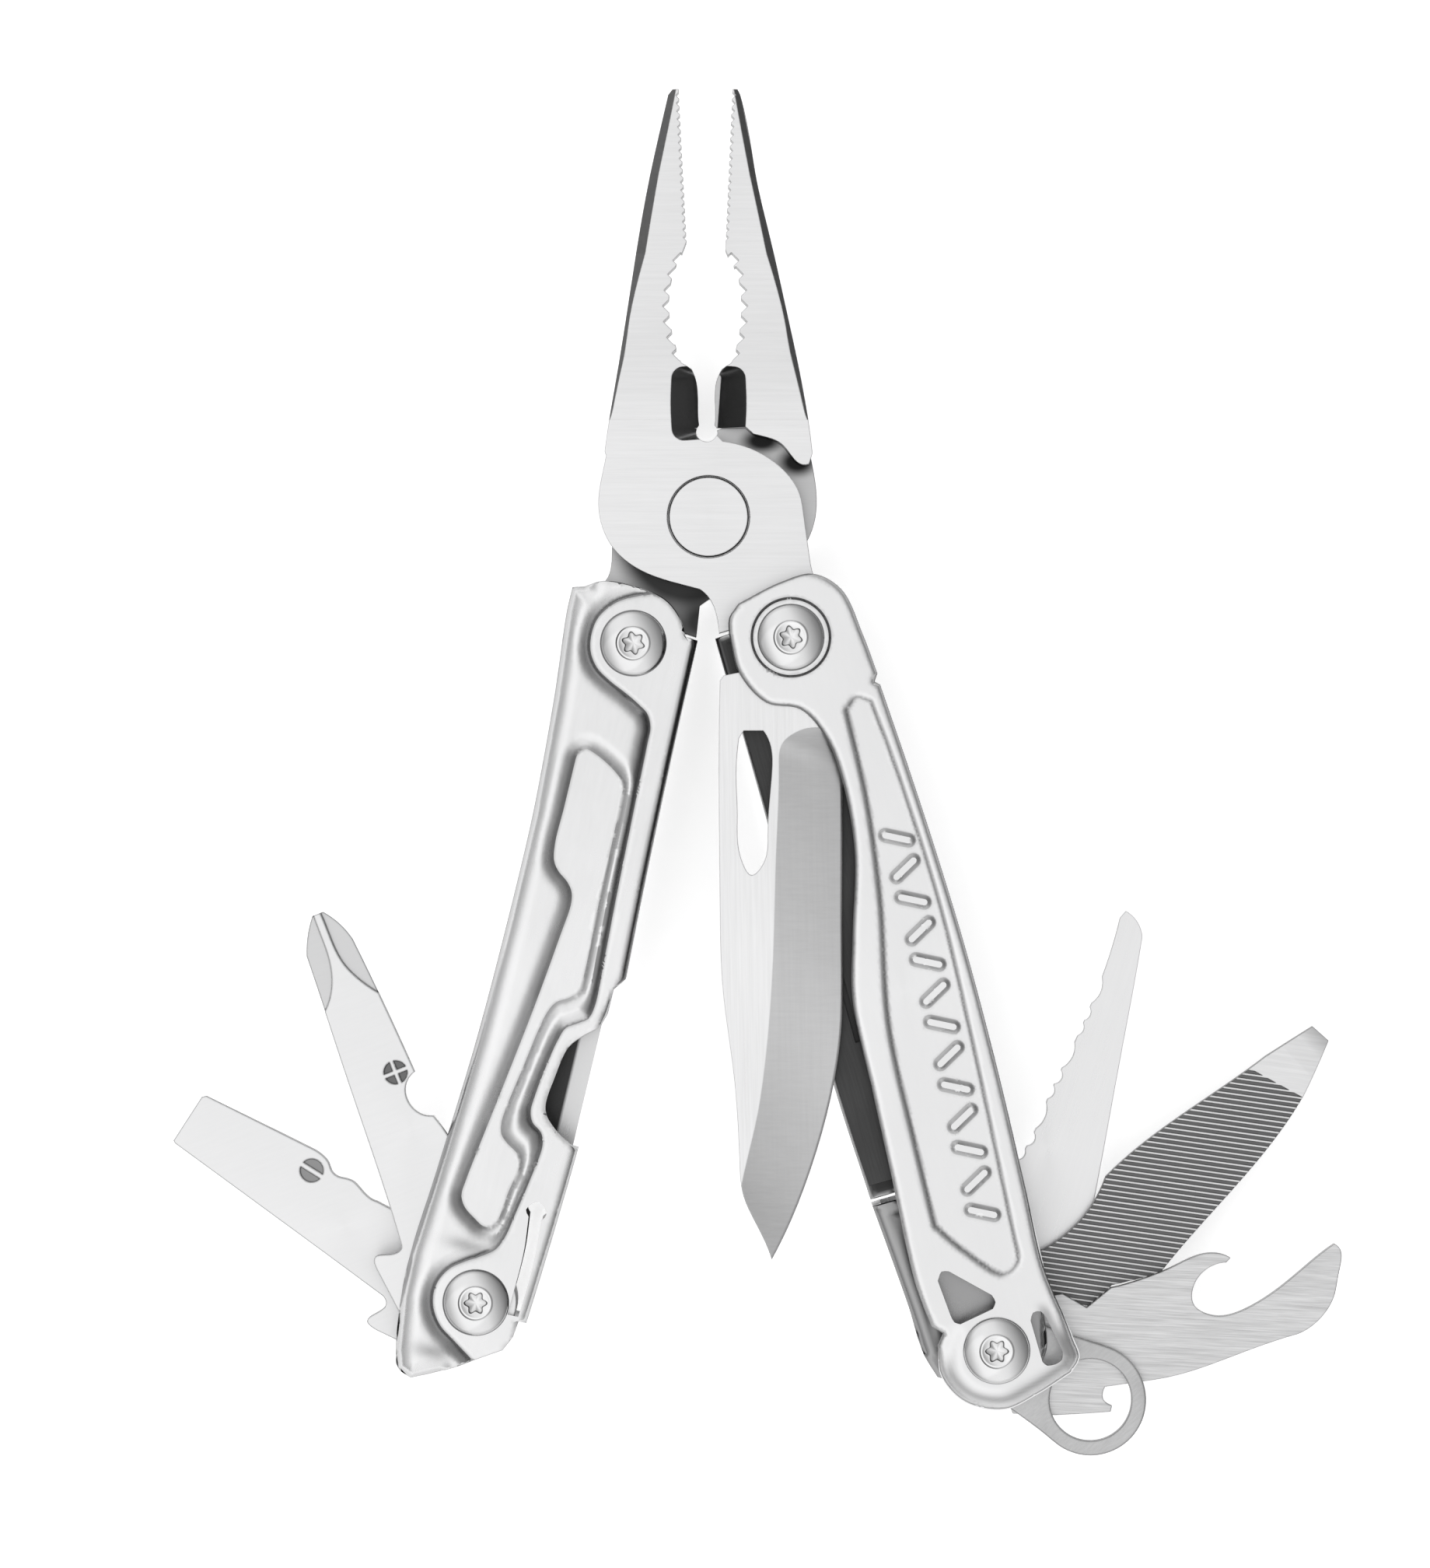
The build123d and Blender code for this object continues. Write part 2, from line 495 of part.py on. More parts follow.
def screw(centre, seat):
    """Domed screw with a six lobed socket, its shank in the post."""
    with BuildSketch(Plane(origin=(*centre, seat), x_dir=(1, 0, 0), z_dir=(0, -1, 0))) as half:
        with BuildLine() as rim:
            Polyline((0, 0), (HEAD_R, 0), (HEAD_R, 0.25))
            Spline((HEAD_R, 0.25), (3.45, 0.75), (2.6, 1.15), (1.75, HEAD_H))
            Polyline((1.75, HEAD_H), (0, HEAD_H), (0, 0))
        make_face(rim.edges())
    revolve(half.sketch, axis=Axis((*centre, 0), (0, 0, 1)))
    extrude(disc(centre, seat - 6, SHANK_R), amount=6)
    with BuildSketch(flat(centre, 15, seat + HEAD_H - 1.1)) as socket:
        Circle(1.05)
        with PolarLocations(1.0, 6):
            Circle(0.36)
    extrude(socket.sketch, amount=2, mode=Mode.SUBTRACT)


def ring_plate(centre, low, high, outer):
    extrude(disc(centre, low, outer, RUN_R), amount=high - low)


COVER_SEAT = COVER_TOP - COUNTERBORE

with BuildPart() as left_head_post:
    post(TL, FRONT_OUT - 0.1)
save(left_head_post, "left_head_post")

with BuildPart() as left_tool_post:
    post(BL, FRONT_OUT - 0.1)
save(left_tool_post, "left_tool_post")

with BuildPart() as right_head_post:
    post(TR, COVER_SEAT - 0.1)
save(right_head_post, "right_head_post")

with BuildPart() as right_tool_post:
    post(BR, COVER_SEAT - 0.1)
save(right_tool_post, "right_tool_post")

with BuildPart() as left_head_screw:
    screw(TL, FRONT_OUT)
save(left_head_screw, "left_head_screw")

with BuildPart() as left_tool_screw:
    screw(BL, FRONT_OUT)
save(left_tool_screw, "left_tool_screw")

with BuildPart() as right_head_screw:
    screw(TR, COVER_SEAT)
save(right_head_screw, "right_head_screw")

with BuildPart() as right_tool_screw:
    screw(BR, COVER_TOP)
save(right_tool_screw, "right_tool_screw")

with BuildPart() as left_tang_spacer:
    ring_plate(TL, JAW_MID + 0.05, FRONT_IN - 0.05, EYE_R)
save(left_tang_spacer, "left_tang_spacer")

with BuildPart() as right_tang_spacer:
    ring_plate(TR, BACK_IN + 0.05, JAW_MID - 0.05, EYE_R)
save(right_tang_spacer, "right_tang_spacer")

with BuildPart() as knife_washers:
    ring_plate(TR, LINER_TOP, LINER_TOP + WASHER, 4.2)
    ring_plate(TR, COVER_LOW - WASHER, COVER_LOW, 4.2)
save(knife_washers, "knife_washers")

with BuildPart() as left_tool_spacer:
    ring_plate(BL, FLAT_Z[1] + 0.05, PHILLIPS_Z[0] - 0.05, EYE_R)
save(left_tool_spacer, "left_tool_spacer")

with BuildPart() as right_tool_washer:
    ring_plate(BR, RING_Z[1] + 0.05, FRONT_IN, EYE_R)
save(right_tool_washer, "right_tool_washer")

with BuildPart() as cover_spacer:
    ring_plate(BR, FRONT_OUT, COVER_LOW, 4.4)
save(cover_spacer, "cover_spacer")


# ---------------------------------------------------------------- main knife
KNIFE_EDGE = ((5.86, -10.0), (5.86, -22.0), (5.85, -34.0), (5.7, -44.5), (4.5, -52.0), (2.25, -60.0),
              (-0.75, -67.5), (-2.15, -70.3))
KNIFE_GRIND = ((3.3, -10.2), (0.2, -10.8), (-1.1, -12.0), (-1.45, -14.5), (-1.75, -24.0), (-2.1, -36.0),
               (-2.9, -47.0), (-4.0, -54.5), (-5.4, -60.5), (-6.2, -66.0))
EDGE_BEVEL = 0.5

with BuildPart() as knife_blade:
    with BuildSketch(flat(TR, 0, KNIFE_LOW)):
        outline([-6.1, -4.0], [-7.6, -4.3], [-8.0, -4.9], (-8.1, -10.5), (-8.0, -30.0), (-7.6, -40.5),
                (-6.6, -48.0), (-5.8, -59.0), (-5.4, -62.8), (-4.0, -66.0), [-2.15, -70.2], (-0.75, -67.5),
                (2.25, -60.0), (4.5, -52.0), (5.7, -44.5), (5.85, -34.0), (5.85, -22.0), [5.85, -11.0],
                [4.9, -10.2], [4.2, -6.0], [0, -3.0])
        outline([6.55 * cos(radians(172.9)), 6.55 * sin(radians(172.9))],
                (6.55 * cos(radians(213)), 6.55 * sin(radians(213))),
                (0, -6.55), (6.55 * cos(radians(300)), 6.55 * sin(radians(300))),
                [6.55 * cos(radians(336.3)), 6.55 * sin(radians(336.3))], [0, 0])
        Circle(5.1)
    extrude(amount=KNIFE_TOP - KNIFE_LOW)
    for face, mid in ((KNIFE_TOP, (KNIFE_TOP + KNIFE_LOW) / 2 + 0.12), (KNIFE_LOW, (KNIFE_TOP + KNIFE_LOW) / 2 - 0.12)):
        way = 1 if face > mid else -1
        with BuildSketch(flat(TR, 0, face + way * 0.01)):
            outline([3.3, -10.2], *KNIFE_GRIND[1:-1], [-6.2, -66.0], [-4.0, -73.0], [9.0, -73.0], [9.0, -10.2])
        with BuildSketch(flat(TR, 0, mid)):
            outline([5.9, -10.2], *KNIFE_EDGE[1:-1], [-2.15, -70.3], [-1.6, -73.0], [9.0, -73.0], [9.0, -10.2])
        loft(ruled=True, mode=Mode.SUBTRACT)
        for z, shift in ((mid + way * 0.12, -EDGE_BEVEL), (mid - way * 0.05, 0.0)):
            with BuildSketch(flat(TR, 0, z)):
                outline([5.9 + shift, -10.2], *[(x + shift, y) for x, y in KNIFE_EDGE[1:-1]],
                        [-2.15 + shift, -70.3], [-1.6 + shift, -73.0], [9.0, -73.0], [9.0, -10.2])
        loft(ruled=True, mode=Mode.SUBTRACT)
    with BuildSketch(flat(TR, 0, KNIFE_LOW - 1)):
        Circle(RUN_R)
        outline([-5.85, -11.4], [-5.3, -10.5], [-3.1, -10.5], (-2.4, -11.8), (-2.15, -15.5), (-2.6, -22.0),
                (-3.4, -26.0), (-4.4, -26.8), (-5.35, -25.6), (-6.0, -20.0), (-6.15, -15.5))
    extrude(amount=5, mode=Mode.SUBTRACT)
save(knife_blade, "knife_blade")


# ---------------------------------------------------------------- leaves on the lower screws
with BuildPart() as phillips_driver:
    mid = sum(PHILLIPS_Z) / 2
    with BuildSketch(flat(BL, PHILLIPS_TURN, PHILLIPS_Z[0])):
        outline([-1.1, 47.5], [0.2, 47.5], (1.0, 46.4), [2.2, 43.4], (2.7, 36.6), (3.1, 29.2), [3.2, 26.8],
                (1.3, 24.8), (1.5, 23.0), [3.3, 21.4], (4.0, 18.8), (4.4, 12.0), [4.5, 1.0], [0, 0],
                [-6.6, -0.6], [-8.4, 0.8], [-9.1, 7.6], (-8.6, 9.0), (-6.6, 8.5), [-5.5, 8.9], (-4.8, 18.0),
                (-4.3, 28.0), (-3.7, 38.0), [-3.4, 43.5], (-1.8, 46.6))
        Circle(EYE_R)
    extrude(amount=PHILLIPS_Z[1] - PHILLIPS_Z[0])
    for face, depth in ((PHILLIPS_Z[1], -0.75), (PHILLIPS_Z[0], 0.75)):
        way = -1 if depth < 0 else 1
        with BuildSketch(flat(BL, PHILLIPS_TURN, face)):
            outline([-5.0, 36.8], [-3.9, 36.8], (-2.0, 39.2), (-1.3, 41.2), (-1.0, 44.0), [-0.85, 48.5],
                    [-5.0, 48.5])
            outline([4.0, 36.6], [2.7, 36.6], (1.0, 39.2), (0.2, 41.2), (-0.1, 44.0), [-0.2, 48.5], [4.0, 48.5])
        extrude(amount=depth, mode=Mode.SUBTRACT)
    with BuildSketch(flat(BL, PHILLIPS_TURN, PHILLIPS_Z[1] - 0.2)):
        with Locations((1.15, 27.55)):
            Circle(1.35)
            Rectangle(3, 0.45, mode=Mode.SUBTRACT)
            Rectangle(0.45, 3, mode=Mode.SUBTRACT)
    extrude(amount=1, mode=Mode.SUBTRACT)
    with BuildSketch(flat(BL, 0, PHILLIPS_Z[0] - 1)):
        Circle(RUN_R)
    extrude(amount=5, mode=Mode.SUBTRACT)
save(phillips_driver, "phillips_driver")

with BuildPart() as flat_driver:
    with BuildSketch(flat(BL, FLAT_TURN, FLAT_Z[0])):
        outline([-3.1, 39.0], [2.8, 38.9], [3.2, 38.5], [4.5, 25.0], (4.45, 23.6), (4.1, 22.6), (3.5, 21.8),
                (3.35, 20.9), (3.6, 20.1), (3.8, 19.2), (3.6, 18.2), (3.3, 17.2), [3.3, 15.6], [4.4, 1.0], [0, 0], [-6.6, -0.6], [-8.4, 0.8], [-9.2, 7.9],
                (-8.6, 9.4), (-6.5, 8.5), [-5.5, 9.3], (-4.9, 17.0), (-4.2, 26.4), [-3.3, 38.7])
        Circle(EYE_R)
    extrude(amount=FLAT_Z[1] - FLAT_Z[0])
    # underside tapered towards the tip
    with BuildSketch(Plane(origin=(*moved(BL, (-6, 0), FLAT_TURN), FLAT_Z[0]), x_dir=(*turned((0, 1), FLAT_TURN), 0),
                           z_dir=(*turned((1, 0), FLAT_TURN), 0))):
        Polygon((29, -0.01), (39.2, 1.3), (39.2, -0.5), (29, -0.5), align=None)
    extrude(amount=12, mode=Mode.SUBTRACT)
    with BuildSketch(flat(BL, FLAT_TURN, FLAT_Z[1] - 0.2)):
        with Locations((2.35, 23.8)):
            Circle(1.35)
            Rectangle(0.55, 3, mode=Mode.SUBTRACT)
    extrude(amount=1, mode=Mode.SUBTRACT)
    with BuildSketch(flat(BL, 0, FLAT_Z[0] - 1)):
        Circle(RUN_R)
    extrude(amount=5, mode=Mode.SUBTRACT)
save(flat_driver, "flat_driver")

# scallops along the edge: point on the edge, radius and depth
SCALLOPS = ((-3.8, 21.6, 1.0, 0.45), (-3.25, 23.5, 1.0, 0.45), (-3.05, 26.5, 2.8, 0.55), (-2.85, 29.3, 1.0, 0.45),
            (-2.55, 31.2, 1.0, 0.45), (-2.25, 34.2, 2.8, 0.55), (-1.95, 37.2, 1.0, 0.45), (-1.75, 39.1, 1.0, 0.45),
            (-1.5, 42.1, 2.8, 0.5))

with BuildPart() as serrated_blade:
    with BuildSketch(flat(BR, SERRATED_TURN, SERRATED_Z[0])):
        outline([-1.2, 51.6], (0.2, 51.0), [1.5, 49.4], (2.5, 42.8), (3.6, 34.8), (4.8, 26.4), [5.8, 19.2],
                [7.4, 9.0], [6.6, 1.0], [0, 0], [-4.5, 1.0], [-4.4, 20.0], (-3.2, 23.8), (-2.9, 28.4),
                (-2.3, 33.4), [-1.6, 40.6], (-1.4, 44.0), [-1.6, 50.6])
        Circle(EYE_R)
    extrude(amount=SERRATED_Z[1] - SERRATED_Z[0])
    with BuildSketch(flat(BR, SERRATED_TURN, SERRATED_Z[0])):
        for x, y, radius, bite in SCALLOPS:
            with Locations((x - radius + bite, y)):
                Circle(radius)
    extrude(amount=3, mode=Mode.SUBTRACT)
    with BuildSketch(flat(BR, 0, SERRATED_Z[0] - 1)):
        Circle(RUN_R)
    extrude(amount=5, mode=Mode.SUBTRACT)
save(serrated_blade, "serrated_blade")

FILE_RIDGE_TILT = 38.5

with BuildPart() as file:
    with BuildSketch(flat(BR, FILE_TURN, FILE_Z[0])):
        outline([-1.2, 51.3], [1.2, 51.5], (2.6, 48.2), [3.8, 45.1], (5.0, 40.0), (6.2, 29.2), [7.2, 19.4],
                (5.8, 16.8), [4.4, 14.4], [5.2, 9.0], [4.6, 1.0], [0, 0], [-4.5, 1.0], [-4.1, 10.8], (-4.0, 20.0),
                [-5.0, 22.4], (-5.0, 25.2), (-3.8, 35.6), [-2.4, 45.1])
        Circle(EYE_R)
    extrude(amount=FILE_Z[1] - FILE_Z[0])
    with BuildSketch(flat(BR, FILE_TURN, FILE_Z[1] - 0.28)):
        with BuildSketch(mode=Mode.PRIVATE) as field:
            outline([-6.5, 41.6], [8.5, 46.4], [8.5, 6.0], [-6.5, 6.0])
        with BuildSketch(mode=Mode.PRIVATE) as grooves:
            for i in range(60):
                with Locations(Location((0, 7.0 + 0.78 * i), FILE_RIDGE_TILT)):
                    Rectangle(24, 0.4)
        add(grooves.sketch & field.sketch)
    extrude(amount=1, mode=Mode.SUBTRACT)
    for z in FILE_Z:
        way = 1 if z == FILE_Z[1] else -1
        with BuildSketch(Plane(origin=(*moved(BR, (-6, 0), FILE_TURN), z), x_dir=(*turned((0, 1), FILE_TURN), 0),
                               z_dir=(*turned((1, 0), FILE_TURN), 0))):
            Polygon((47, way * 0.01), (51.8, way * -0.18), (51.8, way * 0.5), (47, way * 0.5), align=None)
        extrude(amount=14, mode=Mode.SUBTRACT)
    with BuildSketch(flat(BR, 0, FILE_Z[0] - 1)):
        Circle(RUN_R)
    extrude(amount=5, mode=Mode.SUBTRACT)
save(file, "file")

with BuildPart() as can_opener:
    with BuildSketch(flat(BR, OPENER_TURN, OPENER_Z[0])):
        outline([-2.9, 40.3], (-2.4, 40.7), (0.5, 40.0), (2.8, 39.0), (5.2, 36.6), [6.2, 34.0], (7.0, 26.7),
                (7.8, 18.6), (7.5, 14.0), [7.3, 11.3], (8.6, 10.8), [9.6, 11.6], [10.2, 11.3], (9.8, 8.6),
                [9.2, 5.0], [8.0, 0.4], [4.6, 0.0], [0, 0], [-4.6, 1.0], [-4.0, 8.9], [-1.9, 11.2], [-3.5, 14.4],
                (-3.7, 18.0), (-4.3, 21.7), (-5.0, 25.2), (-4.6, 27.4), [-3.9, 28.4], [-3.5, 27.8],
                (-3.5, 26.3), (-2.2, 24.0), (0.2, 23.15), (2.2, 25.4), (2.2, 28.6), (-0.2, 34.8))
        Circle(EYE_R)
    extrude(amount=OPENER_Z[1] - OPENER_Z[0])
    with BuildSketch(flat(BR, 0, OPENER_Z[0] - 1)):
        Circle(RUN_R)
    extrude(amount=5, mode=Mode.SUBTRACT)
save(can_opener, "can_opener")

RING_EYE = (-0.05, 12.45)
RING_HOLE_R = 4.65

with BuildPart() as lanyard_ring:
    with BuildSketch(flat(BR, RING_TURN, RING_Z[0])):
        outline([6.1, 11.0], (5.6, 8.0), (5.2, 4.5), [4.5, 0.0], [-4.5, 0.0], (-5.0, 5.0), (-5.7, 8.6),
                [-6.2, 11.0])
        with Locations(RING_EYE):
            Circle(6.3)
        Circle(EYE_R)
        with Locations(RING_EYE):
            Circle(RING_HOLE_R, mode=Mode.SUBTRACT)
        Circle(RUN_R, mode=Mode.SUBTRACT)
    extrude(amount=RING_Z[1] - RING_Z[0])
save(lanyard_ring, "lanyard_ring")
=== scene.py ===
import math

import bmesh
import bpy
import numpy as np
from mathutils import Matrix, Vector
from mathutils.geometry import delaunay_2d_cdt


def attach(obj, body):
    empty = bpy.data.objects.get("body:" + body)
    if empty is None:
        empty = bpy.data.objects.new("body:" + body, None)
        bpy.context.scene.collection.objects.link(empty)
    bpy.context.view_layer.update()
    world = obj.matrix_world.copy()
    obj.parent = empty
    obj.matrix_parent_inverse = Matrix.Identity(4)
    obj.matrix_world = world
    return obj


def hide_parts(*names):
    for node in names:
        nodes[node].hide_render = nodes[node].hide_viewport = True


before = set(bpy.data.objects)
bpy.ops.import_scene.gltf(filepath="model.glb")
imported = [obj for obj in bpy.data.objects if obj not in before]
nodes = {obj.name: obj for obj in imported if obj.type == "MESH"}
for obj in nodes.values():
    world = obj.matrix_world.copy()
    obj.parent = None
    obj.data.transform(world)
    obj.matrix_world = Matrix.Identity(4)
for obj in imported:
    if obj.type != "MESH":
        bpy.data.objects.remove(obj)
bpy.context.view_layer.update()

MM = 0.001

# ------------------------------------------------------------------ layout, millimetres
JAW_PIVOT = (-5.28, 28.85)
LEFT_TURN, RIGHT_TURN = -13.44, 16.09
LEFT_SPAN, RIGHT_SPAN = 76.73, 83.6
BACK_OUT, BACK_IN = 1.3, 2.3
FRONT_IN, FRONT_OUT = 10.7, 11.7
RELIEF = 1.3
COVER_LOW, COVER_TOP = 15.5, 16.6
POST_HOLE = 2.45
STEP_WIDTH, DISH_WIDTH = 2.1, 2.0          # slopes of the pressed relief
CREASE_DEPTH, CREASE_WIDTH = 0.10, 0.3
WEB_ROLL, RIM_ROLL = 0.95, 0.3             # radii of rounded edges
FACE_DROP = 0.95                           # how far a face may sink below its flat
SHARP_SHEET, SHARP_SCREW = 38, 34          # degrees from which an edge stays sharp

# spacing of the meshes
GRID_PITCH, ROW_GAP = 0.36, 0.15
RIM_MARGIN, HOLE_MARGIN, ROW_MARGIN = 0.24, 0.08, 0.2
RIM_INSET = 0.1


def turned(x, y, angle):
    """Turned about the origin, in degrees."""
    a = math.radians(angle)
    return x * math.cos(a) - y * math.sin(a), x * math.sin(a) + y * math.cos(a)


def moved(origin, offset, angle=0.0):
    """The origin moved by an offset that is turned by an angle."""
    dx, dy = turned(offset[0], offset[1], angle)
    return origin[0] + dx, origin[1] + dy


TL = moved(JAW_PIVOT, (-8.52, -14.36))
TR = moved(JAW_PIVOT, (9.28, -13.77))
BL = moved(TL, (0, -LEFT_SPAN), LEFT_TURN)
BR = moved(TR, (0, -RIGHT_SPAN), RIGHT_TURN)


# ------------------------------------------------------------------ outlines
def curve_through(points, step=0.5):
    """Smooth run through the points, one segment about every step millimetres."""
    p = [np.array(q, float) for q in points]
    p = [2 * p[0] - p[1]] + p + [2 * p[-1] - p[-2]]
    out = []
    for i in range(1, len(p) - 2):
        count = max(2, int(np.linalg.norm(p[i + 1] - p[i]) / step))
        ta = np.linalg.norm(p[i] - p[i - 1]) ** 0.5
        tb = ta + np.linalg.norm(p[i + 1] - p[i]) ** 0.5
        tc = tb + np.linalg.norm(p[i + 2] - p[i + 1]) ** 0.5
        for k in range(count):
            t = ta + (tb - ta) * k / count
            a1 = p[i - 1] * (ta - t) / ta + p[i] * t / ta
            a2 = p[i] * (tb - t) / (tb - ta) + p[i + 1] * (t - ta) / (tb - ta)
            a3 = p[i + 1] * (tc - t) / (tc - tb) + p[i + 2] * (t - tb) / (tc - tb)
            b1 = a1 * (tb - t) / tb + a2 * t / tb
            b2 = a2 * (tc - t) / (tc - ta) + a3 * (t - ta) / (tc - ta)
            out.append(b1 * (tb - t) / (tb - ta) + b2 * (t - ta) / (tb - ta))
    return out


def loop(*points, step=0.5):
    """Closed polyline. Lists are corners, the tuples between two corners make one curve."""
    run, out = [tuple(points[0])], []
    for i in range(1, len(points) + 1):
        q = points[i % len(points)]
        run.append(tuple(q))
        if isinstance(q, list):
            if len(run) == 2:
                a, b = np.array(run[0], float), np.array(run[1], float)
                count = max(1, int(np.linalg.norm(b - a) / step))
                out += [a + (b - a) * k / count for k in range(count)]
            else:
                out += curve_through(run, step)
            run = [tuple(q)]
    return np.array(out)


def circle(centre, radius, count=48):
    """Closed polyline round a centre."""
    a = np.linspace(0, 2 * math.pi, count, endpoint=False)
    return np.stack([centre[0] + radius * np.cos(a), centre[1] + radius * np.sin(a)], 1)


def distance(points, poly, closed=True):
    """Distance to a polyline, positive inside a closed one."""
    a = poly if closed else poly[:-1]
    b = np.roll(poly, -1, 0) if closed else poly[1:]
    best = np.full(len(points), 1e9)
    inside = np.zeros(len(points), bool)
    x, y = points[:, 0], points[:, 1]
    for (ax, ay), (bx, by) in zip(a, b):
        ex, ey = bx - ax, by - ay
        length = ex * ex + ey * ey + 1e-12
        t = np.clip(((x - ax) * ex + (y - ay) * ey) / length, 0, 1)
        best = np.minimum(best, (x - ax - t * ex) ** 2 + (y - ay - t * ey) ** 2)
        if closed and ay != by:
            cross = (ay > y) != (by > y)
            inside ^= cross & (x < (bx - ax) * (y - ay) / (by - ay) + ax)
    best = np.sqrt(best)
    return np.where(inside, best, -best) if closed else best


def ease(t):
    """Smooth step from 0 to 1."""
    t = np.clip(t, 0, 1)
    return t * t * (3 - 2 * t)


def roll(d, radius):
    """How far a rounded edge has dropped, d in from the rim."""
    u = np.clip(1 - d / radius, 0, 1)
    return radius * (1 - np.sqrt(np.clip(1 - u * u, 0, 1)))


# ------------------------------------------------------------------ formed sheets
def lesser(a, b, blend=0.3):
    """The smaller of two heights, rounded where they meet."""
    t = np.clip(0.5 + 0.5 * (b - a) / blend, 0, 1)
    return b * (1 - t) + a * t - blend * t * (1 - t)


def beside(line, offset, closed=True):
    """The line moved sideways by offset, which is inwards for a closed line."""
    if closed:
        tangent = np.roll(line, -1, 0) - np.roll(line, 1, 0)
        if np.sum(line[:, 0] * np.roll(line[:, 1], -1) - np.roll(line[:, 0], -1) * line[:, 1]) < 0:
            offset = -offset
    else:
        tangent = np.gradient(line, axis=0)
    normal = np.stack([-tangent[:, 1], tangent[:, 0]], 1)
    normal /= np.linalg.norm(normal, axis=1)[:, None] + 1e-12
    return line + normal * offset


def thinned(points, gap):
    """The points in order, without those nearer than gap to one already taken."""
    taken, cells = [], {}
    for x, y in points:
        i, j = int(x // gap), int(y // gap)
        close = [q for a in (-1, 0, 1) for b in (-1, 0, 1) for q in cells.get((i + a, j + b), ())]
        if all((x - u) ** 2 + (y - v) ** 2 > gap * gap for u, v in close):
            cells.setdefault((i, j), []).append((x, y))
            taken.append((x, y))
    return np.array(taken)


def plain_tone(p):
    """Steel of even brightness."""
    return np.ones(len(p))


def finished(mesh, name, sharp):
    """Object made from the mesh, smooth but for edges that bend by more than sharp degrees."""
    for f in mesh.faces:
        f.smooth = True
    for e in mesh.edges:
        if e.calc_face_angle(0) > math.radians(sharp):
            e.smooth = False
    data = bpy.data.meshes.new(name)
    mesh.to_mesh(data)
    mesh.free()
    obj = bpy.data.objects.new(name, data)
    bpy.context.scene.collection.objects.link(obj)
    return obj


def clear_of(points, rims, margin):
    """Which points lie inside the first rim and outside the others by more than margin."""
    good = distance(points, rims[0]) > margin
    for hole in rims[1:]:
        good &= distance(points, hole) < -margin
    return good


